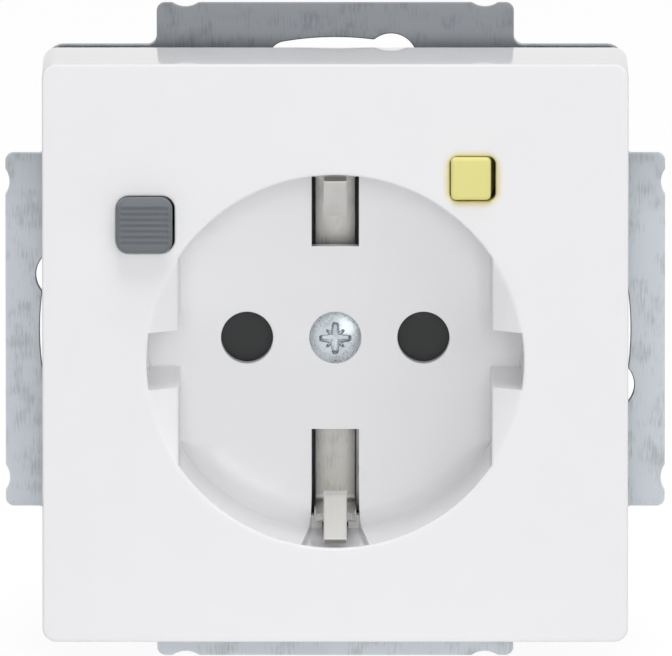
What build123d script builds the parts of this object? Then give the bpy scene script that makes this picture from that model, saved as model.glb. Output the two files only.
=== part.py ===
from build123d import *
import math
import os

os.makedirs("parts", exist_ok=True)

# Residual current device socket for a flush wall box, in millimetres.
# X points right, Z up and Y into the wall. The origin lies on the wall, in the middle of the
# support ring's rear face, so everything in front of the wall has a negative Y.

# Fits and gaps
running_fit = 0.05
moving_gap = 0.3
seat_gap = 0.4

# Support ring
ring_thickness = 1.0
ring_side = 62.0
tab_reach = 4.5
tab_width = 38.4
tab_corner = 0.9
tab_root = 1.0
scallop_from_side = 3.1
scallop_width = 2.8
scallop_depth = 0.45
box_screw_circle = 60.0
keyhole_slot_width = 3.6
keyhole_slot_run = 7.1
keyhole_radius = 2.8
keyhole_offset = 6.0

# Cover
cover_side = 63.0
cover_above_ring = 16.0
skirt_depth = 13.0
skirt_wall = 1.5
front_wall = 2.0
cover_corner = 1.8
cover_edge = 0.7
well_axis_z = -1.1
well_radius = 20.2
well_depth = 17.5
well_wall = 1.2
floor_wall = 1.5
flat_offset = 16.8
land_depth = 2.5
groove_height = 6.2
clip_slot_inner = 9.95
channel_mouth = 7.3
channel_depth = 0.55
channel_lip = 0.5
pin_spacing = 19.0
pin_hole_radius = 2.9
pin_hole_edge = 0.3
boss_length = 2.4
boss_radius = 3.2

# Cover screw
cover_screw_radius = 1.5
cover_screw_head_radius = 2.8
cover_screw_head_rise = 0.75
cover_screw_cone = 1.1
cover_screw_length = 9.0
cross_length = 3.4
cross_width = 0.75
cross_depth = 1.3

# Reset button
reset_angle = 143.9
reset_from_well = 0.19
reset_side = 6.0
reset_corner = 1.7
reset_edge = 0.5
reset_proud = 1.7
reset_travel = 2.0
reset_cap_depth = 8.7
reset_stem_radius = 1.5
reset_collar_radius = 2.2
button_gap = 0.2
collar_thickness = 1.0
rib_count = 7
rib_pitch = 0.62
rib_depth = 0.16

# Test button
test_angle = 53.8
test_from_well = 0.64
test_hole_width = 4.9
test_hole_height = 4.7
test_hole_corner = 1.2
test_width = 4.0
test_height = 4.2
test_corner = 0.9
test_edge = 0.45
test_shift = 0.25
test_proud = 0.5
test_travel = 1.2
test_cap_depth = 7.5
test_stem_radius = 1.2
test_collar_radius = 1.8

# Module housing
module_side = 50.4
module_chamfer = 10.0
module_depth = 34.0
shell_wall = 1.6
deck_wall = 1.6
flange_side = 55.0
flange_thickness = 2.0
notch_width = 26.0
notch_reach = 26.3
cavity_gap = 0.5
ring_screw_offset = 24.6
ring_screw_radius = 1.25
ring_screw_head = 2.1
ring_screw_head_height = 1.5
lower_screw_inset = 5.7
lower_screw_drop = 16.5
right_screw_inset = 4.8
right_screw_rise = 12.0
left_screw_x = -14.5
left_screw_inset = 5.7
shell_screw_radius = 1.25
shell_screw_head = 2.2
shell_screw_head_height = 1.8
shell_boss_radius = 2.6

# Earth bracket
strap_thickness = 0.8
clip_width = 4.5
clip_inset = 2.9
clip_bend = 2.2
shoulder_depth = 9.0
crest_inset = 4.3
crest_depth = 6.5
tip_inset = 0.5
tip_depth = 1.3
nose_width = 2.5
nose_bend = 1.2
strap_hub_radius = 4.6
collar_radius = 3.0
collar_length = 2.6

# Shutter
shutter_thickness = 1.5
shutter_hub_radius = 4.6
shutter_reach = 13.0
shutter_half_angle = 20.5
lug_reach = 7.4
lug_width = 1.6
spring_stop_x = 7.0

# Pin contacts and their carrier
pin_radius = 2.4
pin_play = 0.05
sleeve_wall = 0.9
sleeve_length = 15.4
sleeve_slit = 0.8
slit_length = 11.5
tag_width = 2.0
tag_thickness = 0.8
tag_length = 3.4
tag_root = 1.0
carrier_wall = 1.35
carrier_top = 6.0
carrier_floor = 1.5

# Terminals
terminal_x = 11.6
terminal_width = 6.6
terminal_length = 9.0
terminal_height = 8.0
terminal_lift = 0.8
wire_radius = 1.6
wire_drop = 2.5
wire_depth = 7.0
wire_entry_radius = 2.3
clamp_screw_radius = 1.5
clamp_screw_head = 2.4
clamp_screw_head_height = 1.8
clamp_from_back = 5.2
driver_hole_radius = 2.8

# Conductors
bar_thickness = 0.8
bar_width = 2.2
feed_thickness = 1.0
feed_spacing = 2.6
feed_turn = 0.8
tip_radius = 1.3
fixed_tip_height = 0.8
moving_tip_height = 0.4
strip_thickness = 0.4
strip_width = 2.4
lead_radius = 0.5
lead_bend = 1.1
lead_z = 7.0
lead_drop = 1.4
line_strip_inset = 0.7
neutral_strip_inset = 7.4
link_x = 2.25
link_width = 3.5
link_drop = 5.5
link_foot_top = -8.5

# Transformer
transformer_x = -8.6
transformer_z = -15.2
core_inner = 3.9
core_outer = 6.1
core_length = 5.4
winding_build = 0.7

# Contact rocker
rocker_x = -10.0
rocker_thickness = 3.0
rocker_bottom = 8.6
rocker_top = 16.2
rocker_tip = 18.0
rocker_heel = 8.0
pad_margin = 0.1
rocker_hub = 2.6
rocker_pin_radius = 1.0
pin_head_margin = 0.7
pin_head_height = 0.7
pin_root_z = 3.2
contact_inset = 2.0
contact_shift = 0.4
line_contact_z = 10.6
neutral_contact_z = 14.6
rocker_spring_arm = 7.0
rocker_spring_z = 14.2

# Trip relay
relay_x = 8.0
relay_z = 12.0
yoke_room = 0.6
yoke_height = 7.0
yoke_wall = 1.5
relay_core_radius = 1.6
coil_radius = 3.5
bobbin_radius = 3.9
bobbin_flange = 0.8
bobbin_tube = 0.5
armature_behind_latch = 3.9
armature_thickness = 1.2
armature_gap = 0.35
armature_overhang = 0.4
armature_pin_radius = 0.5
armature_pin_inset = 0.75
ear_thickness = 0.8

# Latch
latch_from_rocker = 3.5
latch_bottom = 11.0
latch_thickness = 3.0
latch_pin_radius = 0.9
latch_hub = 1.9
latch_reach = 5.7
latch_arm = 1.1
tail_reach = 6.3
latch_spring_shift = 0.5
latch_spring_arm = 3.5
latch_spring_length = 2.7
stop_thickness = 1.1

# Test circuit
leaf_rise = 3.0
leaf_thickness = 0.3
leaf_width = 2.4
leaf_foot = 2.5
leaf_arm = 4.5
leaf_overlap = 2.0
resistor_radius = 1.3
resistor_length = 6.5
resistor_shift = 4.7
resistor_rise = 6.7
resistor_lead = 0.35
resistor_bend = 0.85

# Spring wires
wire_fine = 0.25
wire_thin = 0.35
wire_mid = 0.5
shutter_spring_radius = 0.45
rocker_spring_radius = 1.45
latch_spring_radius = 0.9

# Depths that follow from the sizes above, from the room inwards
ring_front = -ring_thickness
plate_front = ring_front - cover_above_ring
plate_back = plate_front + front_wall
floor_front = plate_front + well_depth
floor_back = floor_front + floor_wall
shutter_front = floor_back + moving_gap
shutter_back = shutter_front + shutter_thickness
strap_front = floor_back + boss_length
deck_front = strap_front + strap_thickness
deck_back = deck_front + deck_wall
bar_back = deck_back + bar_thickness
leaf_y = deck_back + leaf_rise
resistor_y = deck_back + resistor_rise
sleeve_back = strap_front + sleeve_length
carrier_back = sleeve_back + carrier_floor
shell_inner_back = module_depth - shell_wall
flange_front = ring_front - flange_thickness
terminal_back = shell_inner_back - seat_gap
terminal_front = terminal_back - terminal_length
clamp_y = terminal_back - clamp_from_back

# Radii and places seen from the room
well_outer = well_radius + well_wall
module_half = module_side / 2
cavity_radius = well_outer + cavity_gap
clip_reach = well_radius - clip_inset
crest_reach = well_radius - crest_inset
tip_reach = well_radius - tip_inset
clip_slot_width = clip_width + 2 * moving_gap
pin_x = pin_spacing / 2
pin_centres = [(-pin_x, well_axis_z), (pin_x, well_axis_z)]
sleeve_inner = pin_radius + pin_play
sleeve_outer = sleeve_inner + sleeve_wall
carrier_half_width = pin_x + sleeve_outer + carrier_wall
carrier_bottom = transformer_z + core_outer + winding_build + seat_gap
bar_side_x = carrier_half_width + moving_gap + bar_width / 2
terminal_bottom = shell_wall + terminal_lift - module_half
terminal_top = terminal_bottom + terminal_height
wire_z = terminal_top - wire_drop
terminal_centres = [-terminal_x, 0, terminal_x]
shell_screw_places = [
    (lower_screw_inset - module_half, -lower_screw_drop),
    (module_half - lower_screw_inset, -lower_screw_drop),
    (module_half - right_screw_inset, right_screw_rise),
    (left_screw_x, module_half - left_screw_inset),
]
well_axis = Axis((0, 0, well_axis_z), (0, 1, 0))


def beside_well(angle, gap, width, height, corner):
    """The middle of a rounded hole at an angle round the well's axis, this gap outside the well's wall."""
    along = math.cos(math.radians(angle))
    up = math.sin(math.radians(angle))
    reach = (width / 2 - corner) * abs(along) + (height / 2 - corner) * abs(up) + corner
    distance = well_outer + gap + reach
    return distance * along, well_axis_z + distance * up


reset_hole_side = reset_side + 2 * button_gap
reset_hole_corner = reset_corner + button_gap
reset_centre = beside_well(
    reset_angle, reset_from_well, reset_hole_side, reset_hole_side, reset_hole_corner
)
reset_x, reset_z = reset_centre
test_centre = beside_well(
    test_angle, test_from_well, test_hole_width, test_hole_height, test_hole_corner
)
test_x = test_centre[0] - test_shift
test_z = test_centre[1]
test_button_centre = (test_x, test_z)

# The contact mechanism: the rocker stands as deep as the contacts' stroke needs
rocker_left = rocker_x - rocker_heel
rocker_right = rocker_x + rocker_tip
contact_x = rocker_right - contact_inset
contact_stroke = reset_travel * (contact_x - rocker_x) / (rocker_x - reset_x)
moving_tip_front = bar_back + fixed_tip_height + moving_gap + contact_stroke
strip_front = moving_tip_front + moving_tip_height
rocker_front = strip_front + strip_thickness
rocker_back = rocker_front + rocker_thickness
rocker_y = rocker_front + rocker_thickness / 2
line_strip_x = rocker_x + rocker_hub + line_strip_inset
neutral_strip_x = rocker_x + rocker_hub + neutral_strip_inset
latch_x = rocker_right + latch_from_rocker
latch_y = rocker_back
armature_front = latch_y + armature_behind_latch
yoke_width = 2 * (bobbin_radius + yoke_room + yoke_wall)


def facing(depth, x=0, z=0):
    """Plane parallel to the wall at a depth, seen from the room: X right, local Y up."""
    return Plane(origin=(x, depth, z), x_dir=(1, 0, 0), z_dir=(0, -1, 0))


def level(height, x=0, y=0):
    """Horizontal plane at a height, seen from above: X right, local Y into the wall."""
    return Plane(origin=(x, y, height), x_dir=(1, 0, 0), z_dir=(0, 0, 1))


def sideways(x, y=0, z=0):
    """Upright plane that faces right: local X into the wall, local Y up."""
    return Plane(origin=(x, y, z), x_dir=(0, 1, 0), z_dir=(1, 0, 0))


def slab(x_range, y_range, z_range, mode=Mode.ADD):
    """A block between two values on each axis, for the part being built."""
    middle = [(low + high) / 2 for low, high in (x_range, y_range, z_range)]
    size = [high - low for low, high in (x_range, y_range, z_range)]
    with Locations(tuple(middle)):
        Box(*size, mode=mode)


def rod(x, z, radius, y_range, mode=Mode.ADD):
    """A round rod along Y between two depths, for the part being built."""
    with BuildSketch(facing(y_range[1], x, z)) as section:
        Circle(radius)
    extrude(section.sketch, amount=y_range[1] - y_range[0], mode=mode)


def post(x, y, radius, z_range, mode=Mode.ADD):
    """A round post along Z between two heights, for the part being built."""
    with BuildSketch(level(z_range[0], x, y)) as section:
        Circle(radius)
    extrude(section.sketch, amount=z_range[1] - z_range[0], mode=mode)


def octagon(inset=0, mode=Mode.ADD):
    """The module's outline, a square with cut corners, drawn in by an inset."""
    half = module_half - inset
    cut = module_chamfer - inset * (2 - math.sqrt(2))
    flat = half - cut
    points = [
        (half, -flat),
        (half, flat),
        (flat, half),
        (-flat, half),
        (-half, flat),
        (-half, -flat),
        (-flat, -half),
        (flat, -half),
    ]
    Polygon(*points, align=None, mode=mode)


def corners_at(sketch, near, far):
    """The corners of a sketch at plus or minus these two distances from its middle, either way round."""
    found = []
    for corner in sketch.vertices():
        low, high = sorted((abs(corner.X), abs(corner.Y)))
        if abs(low - near) < 0.01 and abs(high - far) < 0.01:
            found.append(corner)
    return found


def finish(part, name):
    """Labels a finished piece and writes it."""
    part.label = name
    export_step(part, f"parts/{name}.step")


def coil_spring(name, plane, radius, wire, length, turns):
    """A round-wire compression spring that stands on a plane, given by its middle radius."""
    rise = length - wire
    foot = plane.offset(wire / 2)
    with BuildPart() as spring:
        with BuildLine() as path:
            Helix(pitch=rise / turns, height=rise, radius=radius, center=foot.origin, direction=foot.z_dir)
        helix = path.wires()[0]
        with BuildSketch(Plane(origin=helix @ 0, z_dir=helix % 0)):
            Circle(wire / 2)
        sweep(path=helix, is_frenet=True)
    finish(spring.part, name)


def wire_run(points, bend, radius):
    """A bent round wire through these points, for the part being built."""
    with BuildLine() as path:
        FilletPolyline(*points, radius=bend)
    run = path.wires()[0]
    with BuildSketch(Plane(origin=run @ 0, z_dir=run % 0)) as section:
        Circle(radius)
    sweep(section.sketch, path=run)


# Support ring: sheet steel, with four tabs that rest on the wall round the box
tab_half = tab_width / 2
tab_end = ring_side / 2 + tab_reach
box_screw_radius = box_screw_circle / 2
scallop_at = tab_half - scallop_from_side
scallop_radius = (scallop_width**2 / 4 + scallop_depth**2) / (2 * scallop_depth)
scallop_centre = tab_end - scallop_depth + scallop_radius
slot_run_angle = math.degrees(math.asin((keyhole_slot_run - keyhole_slot_width / 2) / box_screw_radius))
keyhole_angle = math.degrees(math.asin(keyhole_offset / box_screw_radius))
keyhole_centre = (keyhole_offset, math.sqrt(box_screw_radius**2 - keyhole_offset**2))
slot_line = CenterArc((0, 0), box_screw_radius, 90 - keyhole_angle, keyhole_angle + slot_run_angle)
with BuildPart() as support_ring:
    with BuildSketch(facing(0)) as outline:
        Rectangle(ring_side, ring_side)
        Rectangle(tab_width, 2 * tab_end)
        Rectangle(2 * tab_end, tab_width)
        fillet(corners_at(outline, tab_half, ring_side / 2), tab_root)
        fillet(corners_at(outline, tab_half, tab_end), tab_corner)
        with PolarLocations(0, 4):
            with Locations((scallop_centre, scallop_at), (scallop_centre, -scallop_at)):
                Circle(scallop_radius, mode=Mode.SUBTRACT)
            SlotArc(slot_line, keyhole_slot_width, mode=Mode.SUBTRACT)
            with Locations(keyhole_centre):
                Circle(keyhole_radius, mode=Mode.SUBTRACT)
        octagon(inset=-seat_gap, mode=Mode.SUBTRACT)
        with GridLocations(2 * ring_screw_offset, 2 * ring_screw_offset, 2, 2):
            Circle(ring_screw_radius, mode=Mode.SUBTRACT)
    extrude(amount=ring_thickness)
finish(support_ring.part, "support_ring")

# Cover: front plate with its skirt, the round recess with side flats, and the screw boss
with BuildPart() as cover_plate:
    with BuildSketch(facing(plate_front + skirt_depth)):
        RectangleRounded(cover_side, cover_side, cover_corner)
    extrude(amount=skirt_depth)
    fillet(faces().sort_by(Axis.Y)[0].edges(), cover_edge)
    with BuildSketch(facing(plate_front + skirt_depth)):
        inner_side = cover_side - 2 * skirt_wall
        RectangleRounded(inner_side, inner_side, cover_corner / 2)
    extrude(amount=skirt_depth - front_wall, mode=Mode.SUBTRACT)
    rod(0, well_axis_z, well_outer, (plate_back, floor_back))
    rod(0, well_axis_z, boss_radius, (floor_back, strap_front))
    # the recess: a circle with flats left and right, and a groove through each flat
    with BuildSketch(facing(floor_front, 0, well_axis_z)):
        Circle(well_radius)
        Rectangle(2 * flat_offset, 2 * well_radius, mode=Mode.INTERSECT)
    extrude(amount=well_depth, mode=Mode.SUBTRACT)
    with BuildSketch(facing(floor_front, 0, well_axis_z)):
        Rectangle(2 * well_radius + 1, groove_height)
        Circle(well_radius, mode=Mode.INTERSECT)
    extrude(amount=well_depth, mode=Mode.SUBTRACT)
    # the sloping lands between the flats and the circle
    with BuildSketch(level(well_axis_z, 0, plate_front)):
        Polygon(
            (0, 0),
            (well_radius, 0),
            (flat_offset, land_depth),
            (0, land_depth),
            align=None,
        )
    revolve(axis=well_axis, mode=Mode.SUBTRACT)
    # pin holes and the countersunk screw hole
    for x, z in pin_centres:
        rod(x, z, pin_hole_radius, (floor_front, floor_back), mode=Mode.SUBTRACT)
        with BuildSketch(facing(floor_front, x, z)):
            Circle(pin_hole_radius + pin_hole_edge)
        extrude(amount=-pin_hole_edge, taper=45, mode=Mode.SUBTRACT)
    screw_hole_radius = cover_screw_radius + 4 * running_fit
    rod(0, well_axis_z, screw_hole_radius, (floor_front, strap_front), mode=Mode.SUBTRACT)
    with BuildSketch(level(well_axis_z, 0, floor_front)):
        Polygon(
            (0, 0),
            (cover_screw_head_radius + running_fit, 0),
            (cover_screw_radius + running_fit, cover_screw_cone + running_fit),
            (0, cover_screw_cone + running_fit),
            align=None,
        )
    revolve(axis=well_axis, mode=Mode.SUBTRACT)
    # slots for the earth clips, each with a channel up the wall that widens towards the room
    channel_reach = well_radius + channel_depth
    for side in (1, -1):
        with BuildSketch(facing(floor_back, 0, well_axis_z)):
            with Locations((0, side * (clip_slot_inner + channel_reach) / 2)):
                Rectangle(clip_slot_width, channel_reach - clip_slot_inner)
        extrude(amount=floor_wall, mode=Mode.SUBTRACT)
        with BuildSketch(level(well_axis_z)):
            Polygon(
                (-clip_slot_width / 2, floor_front),
                (clip_slot_width / 2, floor_front),
                (channel_mouth / 2, plate_front + channel_lip),
                (-channel_mouth / 2, plate_front + channel_lip),
                align=None,
            )
        extrude(amount=side * channel_reach, mode=Mode.SUBTRACT)
    # holes for the buttons
    with BuildSketch(facing(plate_back)):
        with Locations(reset_centre):
            RectangleRounded(reset_hole_side, reset_hole_side, reset_hole_corner)
        with Locations(test_centre):
            RectangleRounded(test_hole_width, test_hole_height, test_hole_corner)
    extrude(amount=front_wall, mode=Mode.SUBTRACT)
finish(cover_plate.part, "cover_plate")

# Cover screw: raised countersunk head with a cross recess, threaded into the earth bracket
with BuildPart() as cover_screw:
    with BuildSketch(level(well_axis_z, 0, floor_front)):
        with BuildLine():
            RadiusArc(
                (0, -cover_screw_head_rise),
                (cover_screw_head_radius, 0),
                (cover_screw_head_radius**2 + cover_screw_head_rise**2) / (2 * cover_screw_head_rise),
            )
            Polyline(
                (cover_screw_head_radius, 0),
                (cover_screw_radius, cover_screw_cone),
                (cover_screw_radius, cover_screw_length),
                (0, cover_screw_length),
                (0, -cover_screw_head_rise),
            )
        make_face()
    revolve(axis=well_axis)
    with BuildSketch(facing(floor_front - cover_screw_head_rise, 0, well_axis_z)):
        Rectangle(cross_length, cross_width)
        Rectangle(cross_width, cross_length)
    extrude(amount=-cross_depth, taper=12, mode=Mode.SUBTRACT)
finish(cover_screw.part, "cover_screw")

# Reset button: ribbed cap, stem, and the collar that keeps it in the front shell
reset_front = plate_front - reset_proud
reset_cap_back = reset_front + reset_cap_depth
collar_range = (ring_front + moving_gap, ring_front + moving_gap + collar_thickness)
with BuildPart() as reset_button:
    with BuildSketch(facing(reset_cap_back)):
        with Locations(reset_centre):
            RectangleRounded(reset_side, reset_side, reset_corner)
    extrude(amount=reset_cap_depth)
    fillet(faces().sort_by(Axis.Y)[0].edges(), reset_edge)
    for rib in range(rib_count):
        rib_z = reset_z + (rib - (rib_count - 1) / 2) * rib_pitch
        slab(
            (reset_x - reset_side / 2 + reset_edge, reset_x + reset_side / 2 - reset_edge),
            (reset_front - rib_depth, reset_front + rib_depth),
            (rib_z - rib_pitch / 4, rib_z + rib_pitch / 4),
            mode=Mode.SUBTRACT,
        )
    rod(*reset_centre, reset_stem_radius, (reset_cap_back, rocker_front - moving_gap))
    rod(*reset_centre, reset_collar_radius, collar_range)
finish(reset_button.part, "reset_button")

# Test button: smooth cap set to the left in its hole, stem and collar
test_cap_back = plate_front - test_proud + test_cap_depth
with BuildPart() as test_button:
    with BuildSketch(facing(test_cap_back)):
        with Locations(test_button_centre):
            RectangleRounded(test_width, test_height, test_corner)
    extrude(amount=test_cap_depth)
    fillet(faces().sort_by(Axis.Y)[0].edges(), test_edge)
    rod(*test_button_centre, test_stem_radius, (test_cap_back, leaf_y - moving_gap))
    rod(*test_button_centre, test_collar_radius, collar_range)
finish(test_button.part, "test_button")

# Button springs, between the front shell's flange and each cap
coil_spring(
    "reset_spring",
    facing(flange_front, *reset_centre),
    reset_stem_radius + moving_gap + wire_mid / 2,
    wire_mid,
    flange_front - reset_cap_back,
    5,
)
coil_spring(
    "test_spring",
    facing(flange_front, *test_button_centre),
    test_stem_radius + moving_gap + wire_thin / 2,
    wire_thin,
    flange_front - test_cap_back,
    6,
)

# Front shell: flange on the ring, body through the ring, and the deck that carries the inside
lug_middle = well_axis_z - lug_reach + lug_width * 0.75
link_range = (link_x - link_width / 2, link_x + link_width / 2)
link_z = terminal_top - link_drop
shell_screw_seat = module_depth - shell_screw_head_height - seat_gap
shell_screw_tip = floor_back + moving_gap
with BuildPart() as front_shell:
    with BuildSketch(facing(deck_back)):
        octagon()
    extrude(amount=deck_back - flange_front)
    with BuildSketch(facing(ring_front)):
        RectangleRounded(flange_side, flange_side, cover_corner)
        with PolarLocations((flange_side / 2 + notch_reach) / 2, 4):
            Rectangle(flange_side / 2 - notch_reach, notch_width, mode=Mode.SUBTRACT)
    extrude(amount=flange_thickness)
    rod(0, well_axis_z, cavity_radius, (flange_front, deck_front), mode=Mode.SUBTRACT)
    # guides and collar pockets of the two button stems
    for place, stem, collar in (
        (reset_centre, reset_stem_radius, reset_collar_radius),
        (test_button_centre, test_stem_radius, test_collar_radius),
    ):
        rod(*place, stem + running_fit, (flange_front, ring_front), mode=Mode.SUBTRACT)
        rod(*place, collar + moving_gap, (ring_front, deck_back), mode=Mode.SUBTRACT)
    # deck openings for the pin contacts, the bracket's collar and the earth link
    for x, z in pin_centres:
        rod(x, z, sleeve_outer + running_fit, (deck_front, deck_back), mode=Mode.SUBTRACT)
    rod(0, well_axis_z, collar_radius + moving_gap, (deck_front, deck_back), mode=Mode.SUBTRACT)
    slab(
        (link_range[0] - moving_gap, link_range[1] + moving_gap),
        (deck_front, deck_back),
        (link_z - strap_thickness / 2 - moving_gap, link_foot_top + moving_gap),
        mode=Mode.SUBTRACT,
    )
    # stop for the shutter's spring
    slab(
        (spring_stop_x, spring_stop_x + shell_wall),
        (shutter_front + moving_gap, deck_front),
        (lug_middle - shell_wall, lug_middle + shell_wall),
    )
    # screw holes
    for x, z in shell_screw_places:
        rod(x, z, shell_screw_radius + running_fit, (shell_screw_tip - 1, deck_back), mode=Mode.SUBTRACT)
    with BuildSketch(facing(ring_front)):
        with GridLocations(2 * ring_screw_offset, 2 * ring_screw_offset, 2, 2):
            Circle(ring_screw_radius + running_fit)
    extrude(amount=flange_thickness, mode=Mode.SUBTRACT)
finish(front_shell.part, "front_shell")

# Four screws hold the flange on the ring
with BuildPart() as ring_screws:
    with BuildSketch(facing(-running_fit)):
        with GridLocations(2 * ring_screw_offset, 2 * ring_screw_offset, 2, 2):
            Circle(ring_screw_radius - running_fit)
    extrude(amount=-flange_front - running_fit)
    with BuildSketch(facing(flange_front)):
        with GridLocations(2 * ring_screw_offset, 2 * ring_screw_offset, 2, 2):
            Circle(ring_screw_head)
    extrude(amount=ring_screw_head_height)
    with BuildSketch(facing(flange_front - ring_screw_head_height)):
        with GridLocations(2 * ring_screw_offset, 2 * ring_screw_offset, 2, 2):
            Rectangle(ring_screw_head, ring_screw_head / 4)
            Rectangle(ring_screw_head / 4, ring_screw_head)
    extrude(amount=-ring_screw_head_height / 2, mode=Mode.SUBTRACT)
finish(ring_screws.part, "ring_screws")

# Rear shell: an open box behind the deck, with screw bosses, wire entries and driver holes
with BuildPart() as rear_shell:
    with BuildSketch(facing(module_depth)):
        octagon()
    extrude(amount=module_depth - deck_back)
    with BuildSketch(facing(shell_inner_back)):
        octagon(inset=shell_wall)
    extrude(amount=shell_inner_back - deck_back, mode=Mode.SUBTRACT)
    for x, z in shell_screw_places:
        rod(x, z, shell_boss_radius, (deck_back, shell_inner_back))
        rod(x, z, shell_screw_radius + 3 * running_fit, (deck_back, module_depth), mode=Mode.SUBTRACT)
        rod(x, z, shell_screw_head + running_fit, (shell_screw_seat, module_depth), mode=Mode.SUBTRACT)
    for x in terminal_centres:
        rod(x, wire_z, wire_entry_radius, (shell_inner_back, module_depth), mode=Mode.SUBTRACT)
        post(x, clamp_y, driver_hole_radius, (-module_half, shell_wall - module_half), mode=Mode.SUBTRACT)
finish(rear_shell.part, "rear_shell")

# Four long screws join the shells
with BuildPart() as shell_screws:
    for x, z in shell_screw_places:
        rod(x, z, shell_screw_radius, (shell_screw_tip, shell_screw_seat))
        rod(x, z, shell_screw_head, (shell_screw_seat, shell_screw_seat + shell_screw_head_height))
    with BuildSketch(facing(shell_screw_seat + shell_screw_head_height)):
        with Locations(*shell_screw_places):
            Rectangle(shell_screw_head, shell_screw_head / 4)
            Rectangle(shell_screw_head / 4, shell_screw_head)
    extrude(amount=shell_screw_head_height / 2, mode=Mode.SUBTRACT)
finish(shell_screws.part, "shell_screws")

# Earth bracket: spring strap across the deck, with a threaded collar and two bent clips
clip_route = [
    (strap_front + strap_thickness / 2, 0),
    (strap_front + strap_thickness / 2, clip_reach),
    (plate_front + shoulder_depth, clip_reach),
    (plate_front + crest_depth, crest_reach),
    (plate_front + tip_depth, tip_reach),
]
with BuildPart() as earth_bracket:
    with BuildSketch(sideways(0, 0, well_axis_z)):
        with BuildLine():
            FilletPolyline(*clip_route, radius=(clip_bend, nose_bend, nose_bend))
        trace(line_width=strap_thickness)
    extrude(amount=clip_width / 2, both=True)
    # in front of the shoulders each clip narrows to its nose
    for side in (1, -1):
        edge = side * (clip_width + nose_width) / 4
        half = (clip_width - nose_width) / 4
        slab(
            (edge - half, edge + half),
            (plate_front, plate_front + shoulder_depth),
            (well_axis_z, well_axis_z + well_radius + 1),
            mode=Mode.SUBTRACT,
        )
    mirror(about=level(well_axis_z))
    rod(0, well_axis_z, strap_hub_radius, (strap_front, deck_front))
    rod(0, well_axis_z, collar_radius, (deck_front, deck_front + collar_length))
    rod(
        0,
        well_axis_z,
        cover_screw_radius + running_fit,
        (strap_front, deck_front + collar_length),
        mode=Mode.SUBTRACT,
    )
finish(earth_bracket.part, "earth_bracket")

# Shutter: black rotor on the cover's boss, two wings over the pin holes and a lug for its spring
with BuildPart() as shutter:
    with BuildSketch(facing(shutter_back, 0, well_axis_z)):
        for middle in (0, 180):
            with BuildLine():
                PolarLine((0, 0), shutter_reach, middle - shutter_half_angle)
                CenterArc((0, 0), shutter_reach, middle - shutter_half_angle, 2 * shutter_half_angle)
                PolarLine((0, 0), shutter_reach, middle + shutter_half_angle)
            make_face()
        Circle(shutter_hub_radius)
        with Locations((0, -lug_reach / 2)):
            Rectangle(lug_width, lug_reach)
        Circle(boss_radius + running_fit, mode=Mode.SUBTRACT)
    extrude(amount=shutter_thickness)
finish(shutter.part, "shutter")
coil_spring(
    "shutter_spring",
    sideways(lug_width / 2 + running_fit, (shutter_front + shutter_back) / 2, lug_middle),
    shutter_spring_radius,
    wire_fine,
    spring_stop_x - lug_width / 2 - 2 * running_fit,
    9,
)

# Pin contacts: slit sleeves with a soldering tag at the rear
for x, name in ((-pin_x, "line_pin_contact"), (pin_x, "neutral_pin_contact")):
    with BuildPart() as pin_contact:
        rod(x, well_axis_z, sleeve_outer, (strap_front, sleeve_back))
        rod(x, well_axis_z, sleeve_inner, (strap_front, sleeve_back), mode=Mode.SUBTRACT)
        slab(
            (x - sleeve_slit / 2, x + sleeve_slit / 2),
            (strap_front, strap_front + slit_length),
            (well_axis_z - sleeve_outer, well_axis_z + sleeve_outer),
            mode=Mode.SUBTRACT,
        )
        slab(
            (x - tag_width / 2, x + tag_width / 2),
            (sleeve_back - tag_root, sleeve_back + tag_length),
            (well_axis_z + sleeve_outer - tag_thickness, well_axis_z + sleeve_outer),
        )
    finish(pin_contact.part, name)

# Contact carrier: insulating block on the deck, with the pivot bosses on top of it
latch_spring_y = latch_y - latch_spring_arm
latch_spring_x = latch_x + latch_spring_shift
latch_spring_end = latch_spring_x + latch_spring_length
stop_x = (latch_spring_end, latch_spring_end + stop_thickness)
stop_y = (latch_spring_y - stop_thickness, latch_spring_y + stop_thickness)
screw_clear_back = floor_front + cover_screw_length + moving_gap
with BuildPart() as contact_carrier:
    slab(
        (-carrier_half_width, carrier_half_width),
        (deck_back, carrier_back),
        (carrier_bottom, carrier_top),
    )
    post(rocker_x, rocker_y, rocker_hub, (carrier_top, rocker_bottom - moving_gap))
    post(latch_x, latch_y, latch_hub, (carrier_top, latch_bottom - moving_gap))
    slab(
        (carrier_half_width - stop_thickness, stop_x[1]),
        stop_y,
        (carrier_top - stop_thickness, carrier_top + stop_thickness),
    )
    slab(stop_x, stop_y, (carrier_top, latch_bottom + latch_thickness))
    for x, z in pin_centres:
        rod(x, z, sleeve_outer + running_fit, (deck_back, sleeve_back), mode=Mode.SUBTRACT)
        slab(
            (x - tag_width / 2 - running_fit, x + tag_width / 2 + running_fit),
            (sleeve_back - tag_root - running_fit, carrier_back),
            (z + sleeve_outer - tag_thickness - running_fit, z + sleeve_outer + running_fit),
            mode=Mode.SUBTRACT,
        )
    rod(0, well_axis_z, collar_radius + moving_gap, (deck_back, screw_clear_back), mode=Mode.SUBTRACT)
    post(rocker_x, rocker_y, rocker_pin_radius, (pin_root_z, rocker_bottom), mode=Mode.SUBTRACT)
    post(latch_x, latch_y, latch_pin_radius, (pin_root_z, latch_bottom), mode=Mode.SUBTRACT)
finish(contact_carrier.part, "contact_carrier")

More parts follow.
